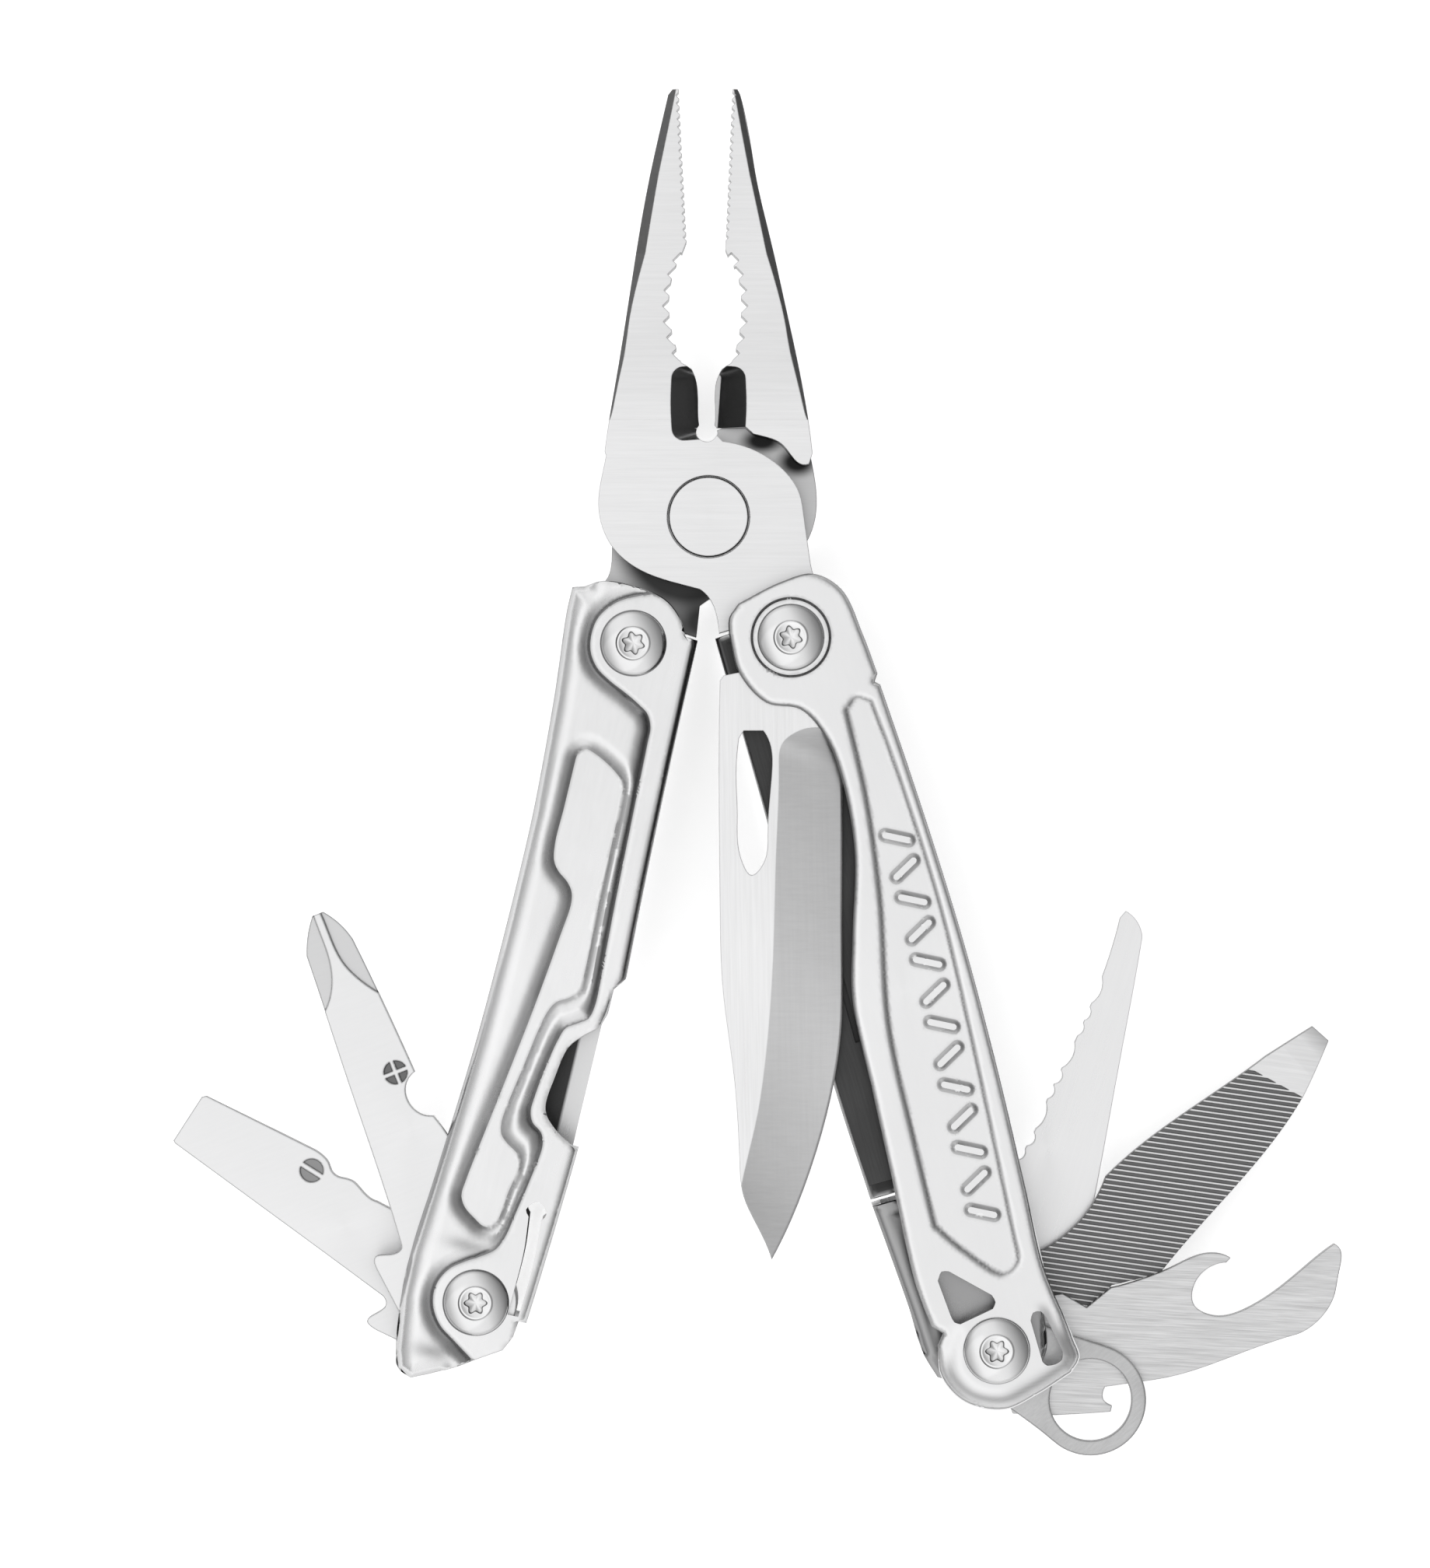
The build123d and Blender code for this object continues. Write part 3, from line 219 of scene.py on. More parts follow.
def sheet(name, rim, holes, face, back_z, origin, angle, pitch=GRID_PITCH, flip=False, creases=(),
          tone=plain_tone, under=plain_tone):
    """Solid plate with a formed face: face(points) gives the height of each point in mm.
    creases are closed lines, each with the offsets at which the mesh follows it. tone and
    under give the painted shade, as a brightness, at each point of the face and of its back."""
    rims = [np.asarray(rim)] + [np.asarray(h) for h in holes]
    low, high = rims[0].min(0), rims[0].max(0)
    gx = np.arange(low[0] + pitch / 2, high[0], pitch)
    gy = np.arange(low[1] + pitch / 2, high[1], pitch)
    grid = np.array(np.meshgrid(gx, gy)).reshape(2, -1).T
    grid = grid[clear_of(grid, rims, RIM_MARGIN)]
    extra = []
    for k, r in enumerate(rims):
        tangent = np.roll(r, -1, 0) - np.roll(r, 1, 0)
        normal = np.stack([-tangent[:, 1], tangent[:, 0]], 1)
        normal /= np.linalg.norm(normal, axis=1)[:, None] + 1e-12
        probe = distance(r + normal * 0.02, rims[0] if k == 0 else r)
        sign = np.where(probe > 0, 1, -1) * (1 if k == 0 else -1)
        ring = r + normal * sign[:, None] * RIM_INSET
        extra.append(ring[clear_of(ring, rims, HOLE_MARGIN)])
    follow = []
    for line, offsets in creases:
        for off in offsets:
            row = beside(line, off)
            true = np.abs(np.abs(distance(row, line)) - abs(off)) < 0.03
            follow.append(row[true & clear_of(row, rims, ROW_MARGIN)])
    if follow:
        follow = thinned(np.vstack(follow), ROW_GAP)
        closest = np.full(len(grid), 1e9)
        for k in range(0, len(follow), 400):
            gap = grid[:, None, :] - follow[None, k:k + 400, :]
            closest = np.minimum(closest, (gap ** 2).sum(2).min(1))
        grid = grid[closest > (0.45 * pitch) ** 2]
        extra.append(follow)
    inner = np.vstack([grid] + extra)
    coords = [Vector(p) for r in rims for p in r] + [Vector(p) for p in inner]
    edges, start = [], 0
    for r in rims:
        edges += [(start + i, start + (i + 1) % len(r)) for i in range(len(r))]
        start += len(r)
    verts, _, tris, *_ = delaunay_2d_cdt(coords, edges, [], 0, 1e-5)
    flat = np.array([(v.x, v.y) for v in verts])
    tris = np.array([t for t in tris if len(t) == 3])
    mid = flat[tris].mean(1)
    tris = tris[clear_of(mid, rims, 0)]
    z = face(flat)
    mesh = bmesh.new()
    wx, wy = turned(flat[:, 0], flat[:, 1], angle)
    shade = mesh.verts.layers.float.new("tone")
    top = [mesh.verts.new(((origin[0] + x) * MM, (origin[1] + y) * MM, h * MM))
           for x, y, h in zip(wx, wy, z)]
    base = [mesh.verts.new(((origin[0] + x) * MM, (origin[1] + y) * MM, back_z * MM))
            for x, y in zip(wx, wy)]
    for rows, values in ((top, tone(flat)), (base, under(flat))):
        for v, value in zip(rows, values):
            v[shade] = float(value)
    order, used = [], set()
    for a, b, c in tris:
        ab, ac = flat[b] - flat[a], flat[c] - flat[a]
        if ab[0] * ac[1] - ab[1] * ac[0] < 0:
            b, c = c, b
        if flip:
            b, c = c, b
        mesh.faces.new((top[a], top[b], top[c]))
        mesh.faces.new((base[a], base[c], base[b]))
        for e in ((a, b), (b, c), (c, a)):
            order.append(e)
            used.add(e)
    for a, b in order:
        if (b, a) not in used:
            f = mesh.faces.new((top[b], top[a], base[a], base[b]))
            for e in f.edges:
                if set(e.verts) == {base[a], base[b]}:
                    e.smooth = False
    loose = [v for v in mesh.verts if not v.link_faces]
    bmesh.ops.delete(mesh, geom=loose, context="VERTS")
    mesh.normal_update()
    return finished(mesh, name, SHARP_SHEET)


def strip(name, outer, thick, z_low, z_high, origin, angle):
    """Curved wall standing on the table plane: outer edge points, wall thickness, heights."""
    line = np.array(curve_through(outer, 0.8) + [np.array(outer[-1], float)])
    tangent = np.gradient(line, axis=0)
    normal = np.stack([tangent[:, 1], -tangent[:, 0]], 1)
    normal /= np.linalg.norm(normal, axis=1)[:, None]
    inner = line + normal * thick
    mesh = bmesh.new()
    shade = mesh.verts.layers.float.new("tone")
    rows = []
    for side in (line, inner):
        wx, wy = turned(side[:, 0], side[:, 1], angle)
        for h in (z_low, z_high):
            rows.append([mesh.verts.new(((origin[0] + x) * MM, (origin[1] + y) * MM, h * MM))
                         for x, y in zip(wx, wy)])
    lo, ho, li, hi = rows
    for v in mesh.verts:
        v[shade] = 1.0
    for i in range(len(line) - 1):
        mesh.faces.new((lo[i], lo[i + 1], ho[i + 1], ho[i]))
        mesh.faces.new((li[i], hi[i], hi[i + 1], li[i + 1]))
        mesh.faces.new((lo[i], li[i], li[i + 1], lo[i + 1]))
        mesh.faces.new((ho[i], ho[i + 1], hi[i + 1], hi[i]))
    mesh.faces.new((lo[0], ho[0], hi[0], li[0]))
    mesh.faces.new((lo[-1], li[-1], hi[-1], ho[-1]))
    bmesh.ops.recalc_face_normals(mesh, faces=mesh.faces)
    return finished(mesh, name, SHARP_SHEET)


def left_rim(windowed):
    window = ([6.9, -41.7], (6.3, -43.2), (4.7, -44.7), (3.5, -46.2), (2.8, -49.7), (2.6, -53.7),
              (4.2, -55.6), [7.2, -57.3])
    solid = ([6.9, -41.7], [6.5, -43.0], [6.5, -57.3], [7.2, -57.3])
    return loop([-8.2, 4.6], (-8.2, 2.0), (-7.3, -8.3), (-6.6, -21.7), (-6.6, -35.0), (-6.9, -48.0),
                (-7.8, -63.0), (-8.5, -73.0), (-8.4, -78.0), (-7.6, -84.0), (-6.9, -86.0), [-5.2, -86.8],
                (-2.0, -85.2), [4.2, -81.3], [5.0, -79.6], [5.2, -77.7], [6.1, -77.7], (6.5, -71.3),
                (7.0, -62.0), *(window if windowed else solid)[::-1], [6.9, -38.7], [8.0, -37.2],
                (7.6, -27.0), (7.2, -12.0), [7.0, 2.0], [5.6, 2.1], (4.5, 4.0), (2.3, 5.7), (-1.7, 6.3),
                (-4.8, 6.1), [-6.9, 5.0])


LEFT_RAISED = loop([-12.0, 9.0], [-12.0, -92.0], [-1.0, -92.0], [1.2, -83.2], (-1.7, -81.3),
                   (-3.3, -80.2), (-4.5, -78.5), (-4.9, -76.8), (-4.7, -75.3), (-3.8, -73.7),
                   (-2.3, -72.5), (-0.7, -71.5), (0.8, -70.3), (1.5, -68.7), (2.0, -66.0), (2.7, -62.0),
                   (3.2, -57.6), (2.7, -56.3), (1.5, -55.4), (1.0, -54.2), (1.05, -52.6), (1.5, -49.0),
                   (2.15, -45.6), (2.7, -44.1), (4.0, -43.2), (4.95, -42.4), (5.3, -41.0), (5.1, -35.0),
                   (4.8, -28.3), (4.4, -17.0), (4.2, -10.7), (4.1, -8.8), (3.4, -7.4), (2.2, -6.6),
                   (0.7, -5.8), (-1.7, -4.7), (-3.4, -3.6), (-4.5, -2.0), (-4.85, 0.0), (-4.5, 2.0),
                   (-3.0, 4.0), (-1.0, 5.2), [1.2, 6.0], [2.0, 9.0], step=0.32)
LEFT_POCKET = loop([-3.3, -15.0], (-3.2, -13.7), (-2.5, -12.9), (-1.2, -13.2), (1.5, -14.7), (2.6, -15.9),
                   (2.8, -17.7), (3.0, -28.0), (3.3, -38.3), (3.15, -39.8), (2.3, -40.7), (1.0, -41.5),
                   (0.3, -42.7), (-0.2, -44.7), (-1.0, -49.7), (-1.7, -54.0), (-1.9, -56.2), (-1.6, -57.5),
                   (-0.8, -58.3), (0.7, -59.3), (1.2, -60.6), (0.7, -63.6), (0.2, -67.2), (-0.4, -68.0),
                   (-1.2, -68.1), (-2.3, -67.5), (-3.8, -66.4), (-4.4, -65.2), (-4.3, -63.5), (-3.8, -59.8),
                   (-2.7, -52.3), (-1.3, -42.3), (-0.4, -34.5), (0.0, -30.2), (-0.3, -28.9), (-1.0, -28.0),
                   (-2.3, -27.0), (-3.0, -26.0), (-3.35, -24.0), [-3.3, -20.0], step=0.32)
LEFT_WEB_EDGE = np.array([(7.0, 2.0), (7.2, -12.0), (7.6, -27.0), (8.0, -37.2), (6.9, -41.7), (7.2, -57.3),
                          (7.0, -62.0), (6.5, -71.3), (6.1, -77.7)])
LEFT_OPEN_EDGE = np.array([(-6.9, 5.0), (-8.2, 4.6), (-8.2, 2.0), (-7.3, -8.3), (-6.6, -21.7),
                           (-6.6, -35.0), (-6.9, -48.0), (-7.8, -63.0), (-8.5, -73.0), (-8.4, -78.0),
                           (-7.6, -84.0), (-6.9, -86.0), (-5.2, -86.8), (-2.0, -85.2)])


def pressed(p, raised, pocket):
    """Height of the pressed relief: up a rounded step at raised, down into a dish at pocket."""
    step = np.sin(0.5 * math.pi * np.clip(distance(p, raised) / STEP_WIDTH, 0, 1))
    dish = 0.12 + 0.88 * np.sin(0.5 * math.pi * np.clip(-distance(p, pocket) / DISH_WIDTH, 0, 1))
    return RELIEF * lesser(step, dish)


def left_form(way, flat_z, rim):
    """Height of the left handle's face: rolled outer edge, S shaped step, dished panel."""
    def face(p):
        h = pressed(p, LEFT_RAISED, LEFT_POCKET)
        h -= CREASE_DEPTH * np.clip(1 - np.abs(distance(p, LEFT_RAISED)) / CREASE_WIDTH, 0, 1)
        h -= 0.85 * roll(distance(p, LEFT_OPEN_EDGE, False), 2.5)
        h -= roll(distance(p, LEFT_WEB_EDGE, False), WEB_ROLL)
        h -= roll(np.maximum(distance(p, rim), 0), RIM_ROLL)
        return flat_z + way * np.maximum(h, -FACE_DROP)
    return face


def painted_shade_line(d, centre, width, depth):
    """A painted dark line, standing in for shade, of a given width where the distance d passes centre."""
    return 1 - depth * np.exp(-((d - centre) / width) ** 2)


def painted_dark_patch(p, centre, reach, depth):
    """A soft painted dark patch, standing in for a dark reflection."""
    off = (p - np.array(centre)) / np.array(reach)
    return 1 - depth * np.exp(-(off ** 2).sum(1))


def left_painted_shade(p):
    """Painted shade in the left handle's creases and along its web, and two painted dark reflections."""
    creases = painted_shade_line(distance(p, LEFT_RAISED), 0.1, 0.26, 0.4)
    creases *= painted_shade_line(distance(p, LEFT_POCKET), -0.15, 0.22, 0.45)
    web = painted_shade_line(distance(p, LEFT_WEB_EDGE, False), 0.15, 0.32, 0.75)
    creases *= np.where(p[:, 1] > -39, web, 1.0)
    return creases * painted_dark_patch(p, (-3.3, -83.2), (2.4, 0.9), 0.5) * painted_dark_patch(p, (-2.6, -70.6), (2.2, 0.8), 0.45)


def left_inside_painted_shade(p):
    """Painted shade: dark inside the channel, but for the leaf spring seen in the window."""
    return 0.06 + 0.8 * ease((p[:, 0] - 4.3) / 0.3)


slot_hole = loop([3.55, -65.9], (3.95, -70.0), [3.8, -77.2], [5.05, -77.2], (5.3, -71.3), [5.05, -66.0],
                 (5.47, -65.2), (4.27, -64.0), (3.07, -65.2), step=0.35)
RAISED_ROWS = (0.0, -0.3, 0.3, 0.62, 0.95, 1.3, 1.7, 2.1)
POCKET_ROWS = (0.0, 0.3, -0.3, -0.62, -0.95, -1.3, -1.65, -2.0)
ROLL_ROWS = (0.32, 0.65, 1.0, 1.45, 1.9, 2.5)
LEFT_CREASES = ((LEFT_RAISED, RAISED_ROWS), (LEFT_POCKET, POCKET_ROWS))
screw_holes = [circle((0, 0), POST_HOLE), circle((0, -LEFT_SPAN), POST_HOLE)]
rim_front, rim_back = left_rim(True), left_rim(False)
left_front = sheet("left_face_front", rim_front, screw_holes + [slot_hole],
                   left_form(1, FRONT_OUT, rim_front), FRONT_IN, TL, LEFT_TURN,
                   creases=LEFT_CREASES + ((rim_front, ROLL_ROWS),), tone=left_painted_shade)
left_back = sheet("left_face_back", rim_back, screw_holes + [slot_hole],
                  left_form(-1, BACK_OUT, rim_back), BACK_IN, TL, LEFT_TURN, flip=True,
                  creases=LEFT_CREASES + ((rim_back, ROLL_ROWS),), tone=left_painted_shade, under=left_inside_painted_shade)
web_upper = strip("left_web_upper", ((7.0, 2.0), (7.2, -12.0), (7.6, -27.0), (8.0, -37.2)), 1.1,
                  BACK_IN, FRONT_IN, TL, LEFT_TURN)
web_lower = strip("left_leaf_spring", ((7.2, -57.3), (7.0, -62.0), (6.5, -71.3), (6.1, -77.7)), 1.0,
                  BACK_IN, FRONT_IN, TL, LEFT_TURN)
left_shell = [left_front, left_back, web_upper, web_lower]
for piece in left_shell:
    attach(piece, "left_handle")
    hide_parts("left_channel")

# ------------------------------------------------------------------ right cover
COVER_RIM = loop([-6.6, 2.3], (-6.7, -2.3), (-4.7, -6.3), (-1.2, -8.1), (0.6, -11.8), (1.1, -17.0),
                 (0.2, -25.0), (-2.7, -34.3), (-4.7, -41.3), (-5.4, -52.0), (-6.0, -62.0), (-6.7, -74.0),
                 [-6.3, -79.0], [-5.3, -80.1], [-6.2, -81.2], (-6.8, -84.8), (-5.0, -88.3), (-1.0, -90.3),
                 (3.0, -89.7), [7.4, -88.4], (8.8, -87.0), (8.7, -84.5), (7.7, -76.0), (8.2, -67.0),
                 (8.9, -53.0), (9.2, -40.0), (9.1, -30.0), (8.7, -18.0), [8.2, -7.9], [7.7, -7.4],
                 [8.25, -6.6], (7.9, -2.0), (7.0, 3.6), (4.4, 6.2), (0.6, 6.3), [-4.6, 5.3], (-6.1, 4.0))
COVER_PANEL = loop([3.7, -9.6], (5.2, -8.5), [6.6, -9.4], (7.2, -16.7), (7.7, -33.3), (7.0, -48.7),
                   [5.4, -71.5], (5.0, -74.6), (3.2, -75.6), (-0.4, -71.8), [-2.8, -68.2], (-2.4, -59.0),
                   (-1.5, -45.0), (1.5, -31.0), (3.1, -20.0))
TRIANGLE = loop([-4.2, -74.2], (-3.5, -73.3), [-2.7, -73.5], [1.2, -77.4], (1.4, -78.3), [0.9, -78.95],
                [-3.1, -79.6], (-3.7, -79.2), [-3.9, -78.3], step=0.35)
END_SLOT = loop([4.6, -81.4], (5.1, -80.6), (6.0, -80.7), [6.4, -81.6], [7.1, -85.7], (6.8, -86.6),
                [6.0, -86.9], (5.0, -86.8), [4.6, -86.2], step=0.35)
FLANGE = ((8.2, -8.4), (8.7, -18.0), (9.1, -30.0), (9.2, -40.0), (8.9, -53.0), (8.2, -67.0), (7.75, -76.0))


def bars():
    """Raised slanted bars down the panel, in a herringbone."""
    out = []
    for i in range(13):
        y = -25.0 - 3.6 * i
        x = 5.2 - 0.9 * abs(y + 25) ** 1.35 / 60
        a = math.radians(28 if i % 2 else 152)
        half = np.array((1.35 * math.cos(a), 1.35 * math.sin(a)))
        out.append(np.array([(x, y) - half, (x, y) + half]))
    return out


def capsule(bar, radius):
    """Outline at a radius round a short line."""
    a, b = bar
    along = math.atan2(*(b - a)[::-1])
    turn = np.linspace(-math.pi / 2, math.pi / 2, 9)
    parts = []
    for start, stop, t in ((b, a, 0.0), (a, b, math.pi)):
        arc = along + t + turn
        parts.append(np.stack([start[0] + radius * np.cos(arc), start[1] + radius * np.sin(arc)], 1))
        side = radius * np.array([math.cos(arc[-1]), math.sin(arc[-1])])
        parts.append(np.linspace(start, stop, 10)[1:-1] + side)
    return np.vstack(parts)


def cover_face(p):
    """Height of the cover: rounded rim, sunk panel with raised bars, seat of the upper screw."""
    edge = distance(p, COVER_RIM)
    h = -roll(np.maximum(edge, 0), 0.7 + 0.6 * ease((-81.0 - p[:, 1]) / 4.0))
    h -= 0.40 * ease((distance(p, COVER_PANEL) + 0.45) / 0.7)
    for bar in bars():
        h += 0.40 * ease((0.72 - distance(p, bar, False)) / 0.38)
    r = np.hypot(p[:, 0], p[:, 1])
    h -= 0.35 * ease((4.55 - r) / 0.3)
    low = ease((-79.2 - p[:, 1]) / 2.0) * ease((2.6 - edge) / 1.6)
    return COVER_TOP + h - 0.35 * low


def cover_painted_shade(p):
    """Painted shade: dark lines round the cover's panel, bars, screw seat and rim, and a darker band near
    its lower end.
    """
    tone = painted_shade_line(distance(p, COVER_PANEL), 0.05, 0.2, 0.5)
    tone *= painted_shade_line(np.hypot(p[:, 0], p[:, 1]), 4.4, 0.16, 0.6)
    for bar in bars():
        tone *= painted_shade_line(distance(p, bar, False), 0.72, 0.14, 0.55)
    edge = distance(p, COVER_RIM)
    # painted shade on the slope at the cover's lower end
    lower = 1 - 0.5 * np.exp(-((edge - 1.2) / 0.5) ** 2) * ease((-82.0 - p[:, 1]) / 3.0)
    return tone * lower * painted_shade_line(edge, 0.0, 0.2, 0.5)


right_holes = [circle((0, 0), POST_HOLE), circle((0, -RIGHT_SPAN), POST_HOLE)]
cover = sheet("right_cover_plate", COVER_RIM, right_holes + [TRIANGLE, END_SLOT],
              cover_face, COVER_LOW, TR, RIGHT_TURN, pitch=0.32,
              creases=((COVER_PANEL, (-0.5, -0.25, 0.0, 0.25)),
                       (circle((0, 0), 4.4, 96), (-0.15, 0.0, 0.15)),
                       (COVER_RIM, (0.25, 0.42, 0.6)),
                       *[(capsule(bar, 0.6), (-0.32, -0.16, 0.0, 0.14, 0.25)) for bar in bars()]),
              tone=cover_painted_shade)
flange = strip("right_cover_flange", FLANGE, 0.8, 12.4, COVER_LOW, TR, RIGHT_TURN)
for piece in (cover, flange):
    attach(piece, "right_handle")
    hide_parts("right_cover")


# ------------------------------------------------------------------ right channel
RIGHT_RIM = loop([6.4, 3.0], [6.2, -40.0], [6.6, -80.0], (5.2, -86.0), (1.0, -88.4), (-3.0, -87.6),
                 [-7.2, -85.0], (-8.0, -82.0), (-8.1, -77.0), (-8.5, -70.3), [-8.9, -64.4], [-5.7, -64.4],
                 [-5.7, -63.6], [-8.9, -63.6], (-9.3, -50.0), (-8.9, -35.0), (-8.3, -20.0), [-8.2, 2.3],
                 [-6.6, 2.4], (-4.6, 4.9), (0.0, 6.1), (4.4, 5.3))
RIGHT_RAISED = loop([9.0, 2.6], [9.0, -78.3], [2.4, -78.3], (1.2, -77.3), (0.2, -73.5), [-3.0, -68.0],
                    (-5.2, -57.0), (-6.0, -48.0), (-5.0, -30.0), [-4.3, -11.0], (-3.4, -7.6), (-0.7, -5.8),
                    (3.3, -3.7), (4.8, 0.0), [4.3, 2.6])
RIGHT_POCKET = loop([-2.6, -13.6], (2.6, -13.6), [3.3, -15.0], [3.0, -38.0], (3.6, -52.0), [4.2, -68.0],
                    (2.2, -71.0), (-1.8, -66.0), (-3.8, -54.0), (-4.2, -46.0), (-3.3, -30.0), [-2.8, -15.0])
RIGHT_WEB_UPPER = ((-8.2, 2.3), (-8.3, -20.0), (-8.9, -35.0), (-9.3, -50.0), (-8.9, -63.6))
RIGHT_WEB_LOWER = ((-8.9, -64.4), (-8.5, -70.3), (-8.1, -77.0), (-7.9, -82.0))
SPRING_SLOT = loop([-6.9, -66.0], (-6.6, -72.0), [-6.3, -82.3], [-5.4, -82.3], (-5.6, -72.0), [-5.8, -66.0])
RIGHT_OPEN_EDGE = np.array([(6.4, 3.0), (6.2, -40.0), (6.6, -80.0), (5.2, -86.0), (1.0, -88.4),
                            (-3.0, -87.6)])


def right_form(way, flat_z, raised):
    """Height of a wall of the right channel, with the pressed relief where raised is 1."""
    def face(p):
        h = pressed(p, RIGHT_RAISED, RIGHT_POCKET) * raised
        h -= roll(distance(p, RIGHT_OPEN_EDGE, False), 1.2 if raised else RIM_ROLL)
        web = np.array(RIGHT_WEB_UPPER + RIGHT_WEB_LOWER)
        h -= roll(distance(p, web, False), WEB_ROLL)
        h -= roll(np.maximum(distance(p, RIGHT_RIM), 0), RIM_ROLL)
        return flat_z + way * np.maximum(h, -FACE_DROP)
    return face


def right_painted_shade(p):
    """Painted shade in the creases of the right channel."""
    raised = painted_shade_line(distance(p, RIGHT_RAISED), 0.1, 0.28, 0.6)
    return raised * painted_shade_line(distance(p, RIGHT_POCKET), -0.15, 0.25, 0.6)


def right_inside_painted_shade(p):
    """Painted shade: the front wall lies in the dark under the cover, but for its painted lit rim and the
    leaf spring, with a painted dark line round the spring slot.
    """
    rim = np.exp(-(np.maximum(distance(p, RIGHT_RIM), 0) / 0.32) ** 2)
    return np.where(p[:, 1] > -64, 0.05 + 0.6 * rim, 0.45) * painted_shade_line(distance(p, SPRING_SLOT), 0.0, 0.3, 0.8)


right_back = sheet("right_face_back", RIGHT_RIM, right_holes + [SPRING_SLOT],
                   right_form(-1, BACK_OUT, 1), BACK_IN, TR, RIGHT_TURN, flip=True,
                   creases=((RIGHT_RAISED, RAISED_ROWS), (RIGHT_POCKET, POCKET_ROWS),
                            (RIGHT_RIM, ROLL_ROWS)),
                   tone=right_painted_shade)
right_front = sheet("right_face_front", RIGHT_RIM, right_holes,
                    right_form(1, FRONT_OUT, 0), FRONT_IN, TR, RIGHT_TURN, pitch=0.6,
                    creases=((RIGHT_RIM, (0.3, 0.6, 0.95)),), tone=right_inside_painted_shade)
right_web_upper = strip("right_web_upper", RIGHT_WEB_UPPER, -1.1, BACK_IN, FRONT_IN, TR, RIGHT_TURN)
right_web_lower = strip("right_leaf_spring", RIGHT_WEB_LOWER, -1.0, BACK_IN, FRONT_IN, TR, RIGHT_TURN)
right_shell = [right_back, right_front, right_web_upper, right_web_lower]
for piece in right_shell:
    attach(piece, "right_handle")
    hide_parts("right_channel")


# ------------------------------------------------------------------ domed screws
HEAD_R, SHANK_R, SHANK_LENGTH = 3.78, 1.5, 6.0
CROWN_LIFT = 0.12          # the dome stands this much above its rim


def dome_height(r, full):
    """Button head: steep at its rim, nearly flat at the top."""
    return full * np.clip(1 - (r / HEAD_R) ** 2.3, 0, 1) ** 0.62


def screw_mesh(name, centre, seat, height, turn):
    """Domed head with a six lobed socket in a bright rim, and its shank, with painted shade in the socket,
    round the rim, towards the head's edge and under it.
    """
    count = 96
    angles = np.linspace(0, 2 * math.pi, count, endpoint=False)
    lobe = 1.12 + 0.19 * np.cos(6 * (angles + turn))
    top = float(dome_height(1.95, height))
    rings, tones = [], []

    def ring(radii, z, tone):
        rings.append((np.zeros(count) + radii, np.full(count, z)))
        tones.append(tone)

    # the ring tones are painted shade: dark socket walls, a dark line round the rim, the head darkening
    # towards its edge, and a dark underside
    for radii, z, tone in ((lobe * 0.35, -0.52, 0.95), (lobe * 0.84, -0.42, 0.8),
                           (lobe * 0.94, -0.38, 0.3), (lobe * 1.00, -0.12, 0.3),
                           (lobe * 1.04, -0.06, 0.9), (1.50, -0.06, 1.0), (1.62, 0.02, 1.0),
                           (1.78, 0.02, 1.0), (1.86, -0.02, 0.6)):
        ring(radii, top + z, tone)
    for r in (2.0, 2.2, 2.5, 2.8, 3.05, 3.25, 3.42, 3.55, 3.65, 3.72, 3.76, HEAD_R):
        lift = CROWN_LIFT if r < HEAD_R else 0
        ring(r, float(dome_height(r, height)) + lift, 0.95 - 0.5 * max(0.0, (r - 3.3) / 0.48))
    for r, z in ((HEAD_R, 0.0), (SHANK_R, 0.0), (SHANK_R, -SHANK_LENGTH)):
        ring(r, z, 0.3)
    mesh = bmesh.new()
    shade = mesh.verts.layers.float.new("tone")
    rows = [[mesh.verts.new(((centre[0] + r * math.cos(a)) * MM, (centre[1] + r * math.sin(a)) * MM,
                             (seat + z) * MM)) for r, a, z in zip(radii, angles, heights)]
            for radii, heights in rings]
    first, last = [mesh.verts.new((centre[0] * MM, centre[1] * MM, (seat + z) * MM))
                   for z in (float(rings[0][1][0] - 0.05), float(rings[-1][1][0]))]
    for row, tone in zip(rows, tones):
        for v in row:
            v[shade] = tone
    first[shade], last[shade] = tones[0], tones[-1]
    for i in range(count):
        j = (i + 1) % count
        mesh.faces.new((first, rows[0][i], rows[0][j]))
        mesh.faces.new((last, rows[-1][j], rows[-1][i]))
        for a, b in zip(rows, rows[1:]):
            mesh.faces.new((a[i], b[i], b[j], a[j]))
    bmesh.ops.recalc_face_normals(mesh, faces=mesh.faces)
    return finished(mesh, name, SHARP_SCREW)


screws = []
for node, centre, seat, body in (("left_head_screw", TL, FRONT_OUT, "left_handle"),
                                 ("left_tool_screw", BL, FRONT_OUT, "left_handle"),
                                 ("right_head_screw", TR, COVER_TOP - 0.35, "right_handle"),
                                 ("right_tool_screw", BR, COVER_TOP, "right_handle")):
    head = screw_mesh(node + "_head", centre, seat, RELIEF - CROWN_LIFT, 0.3 if "head" in node else 0.0)
    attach(head, body)
    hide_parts(node)
    screws.append(head)

# ------------------------------------------------------------------ materials
DEEP_SPAN = 18.0                        # mm, the heights that a deep list may use
CLOUD_SCALE, SPECK_SCALE = 55.0, 5200.0
ANISOTROPY, ROUGH_SWING = 0.35, 0.08
SHEER = (0.12, 0.45)                    # slopes that count as a wall, which gets painted shade
FINE_DEPTH, WAVE_DEPTH = 0.00004, 0.002   # metres
WAVE_STRENGTH = 0.05


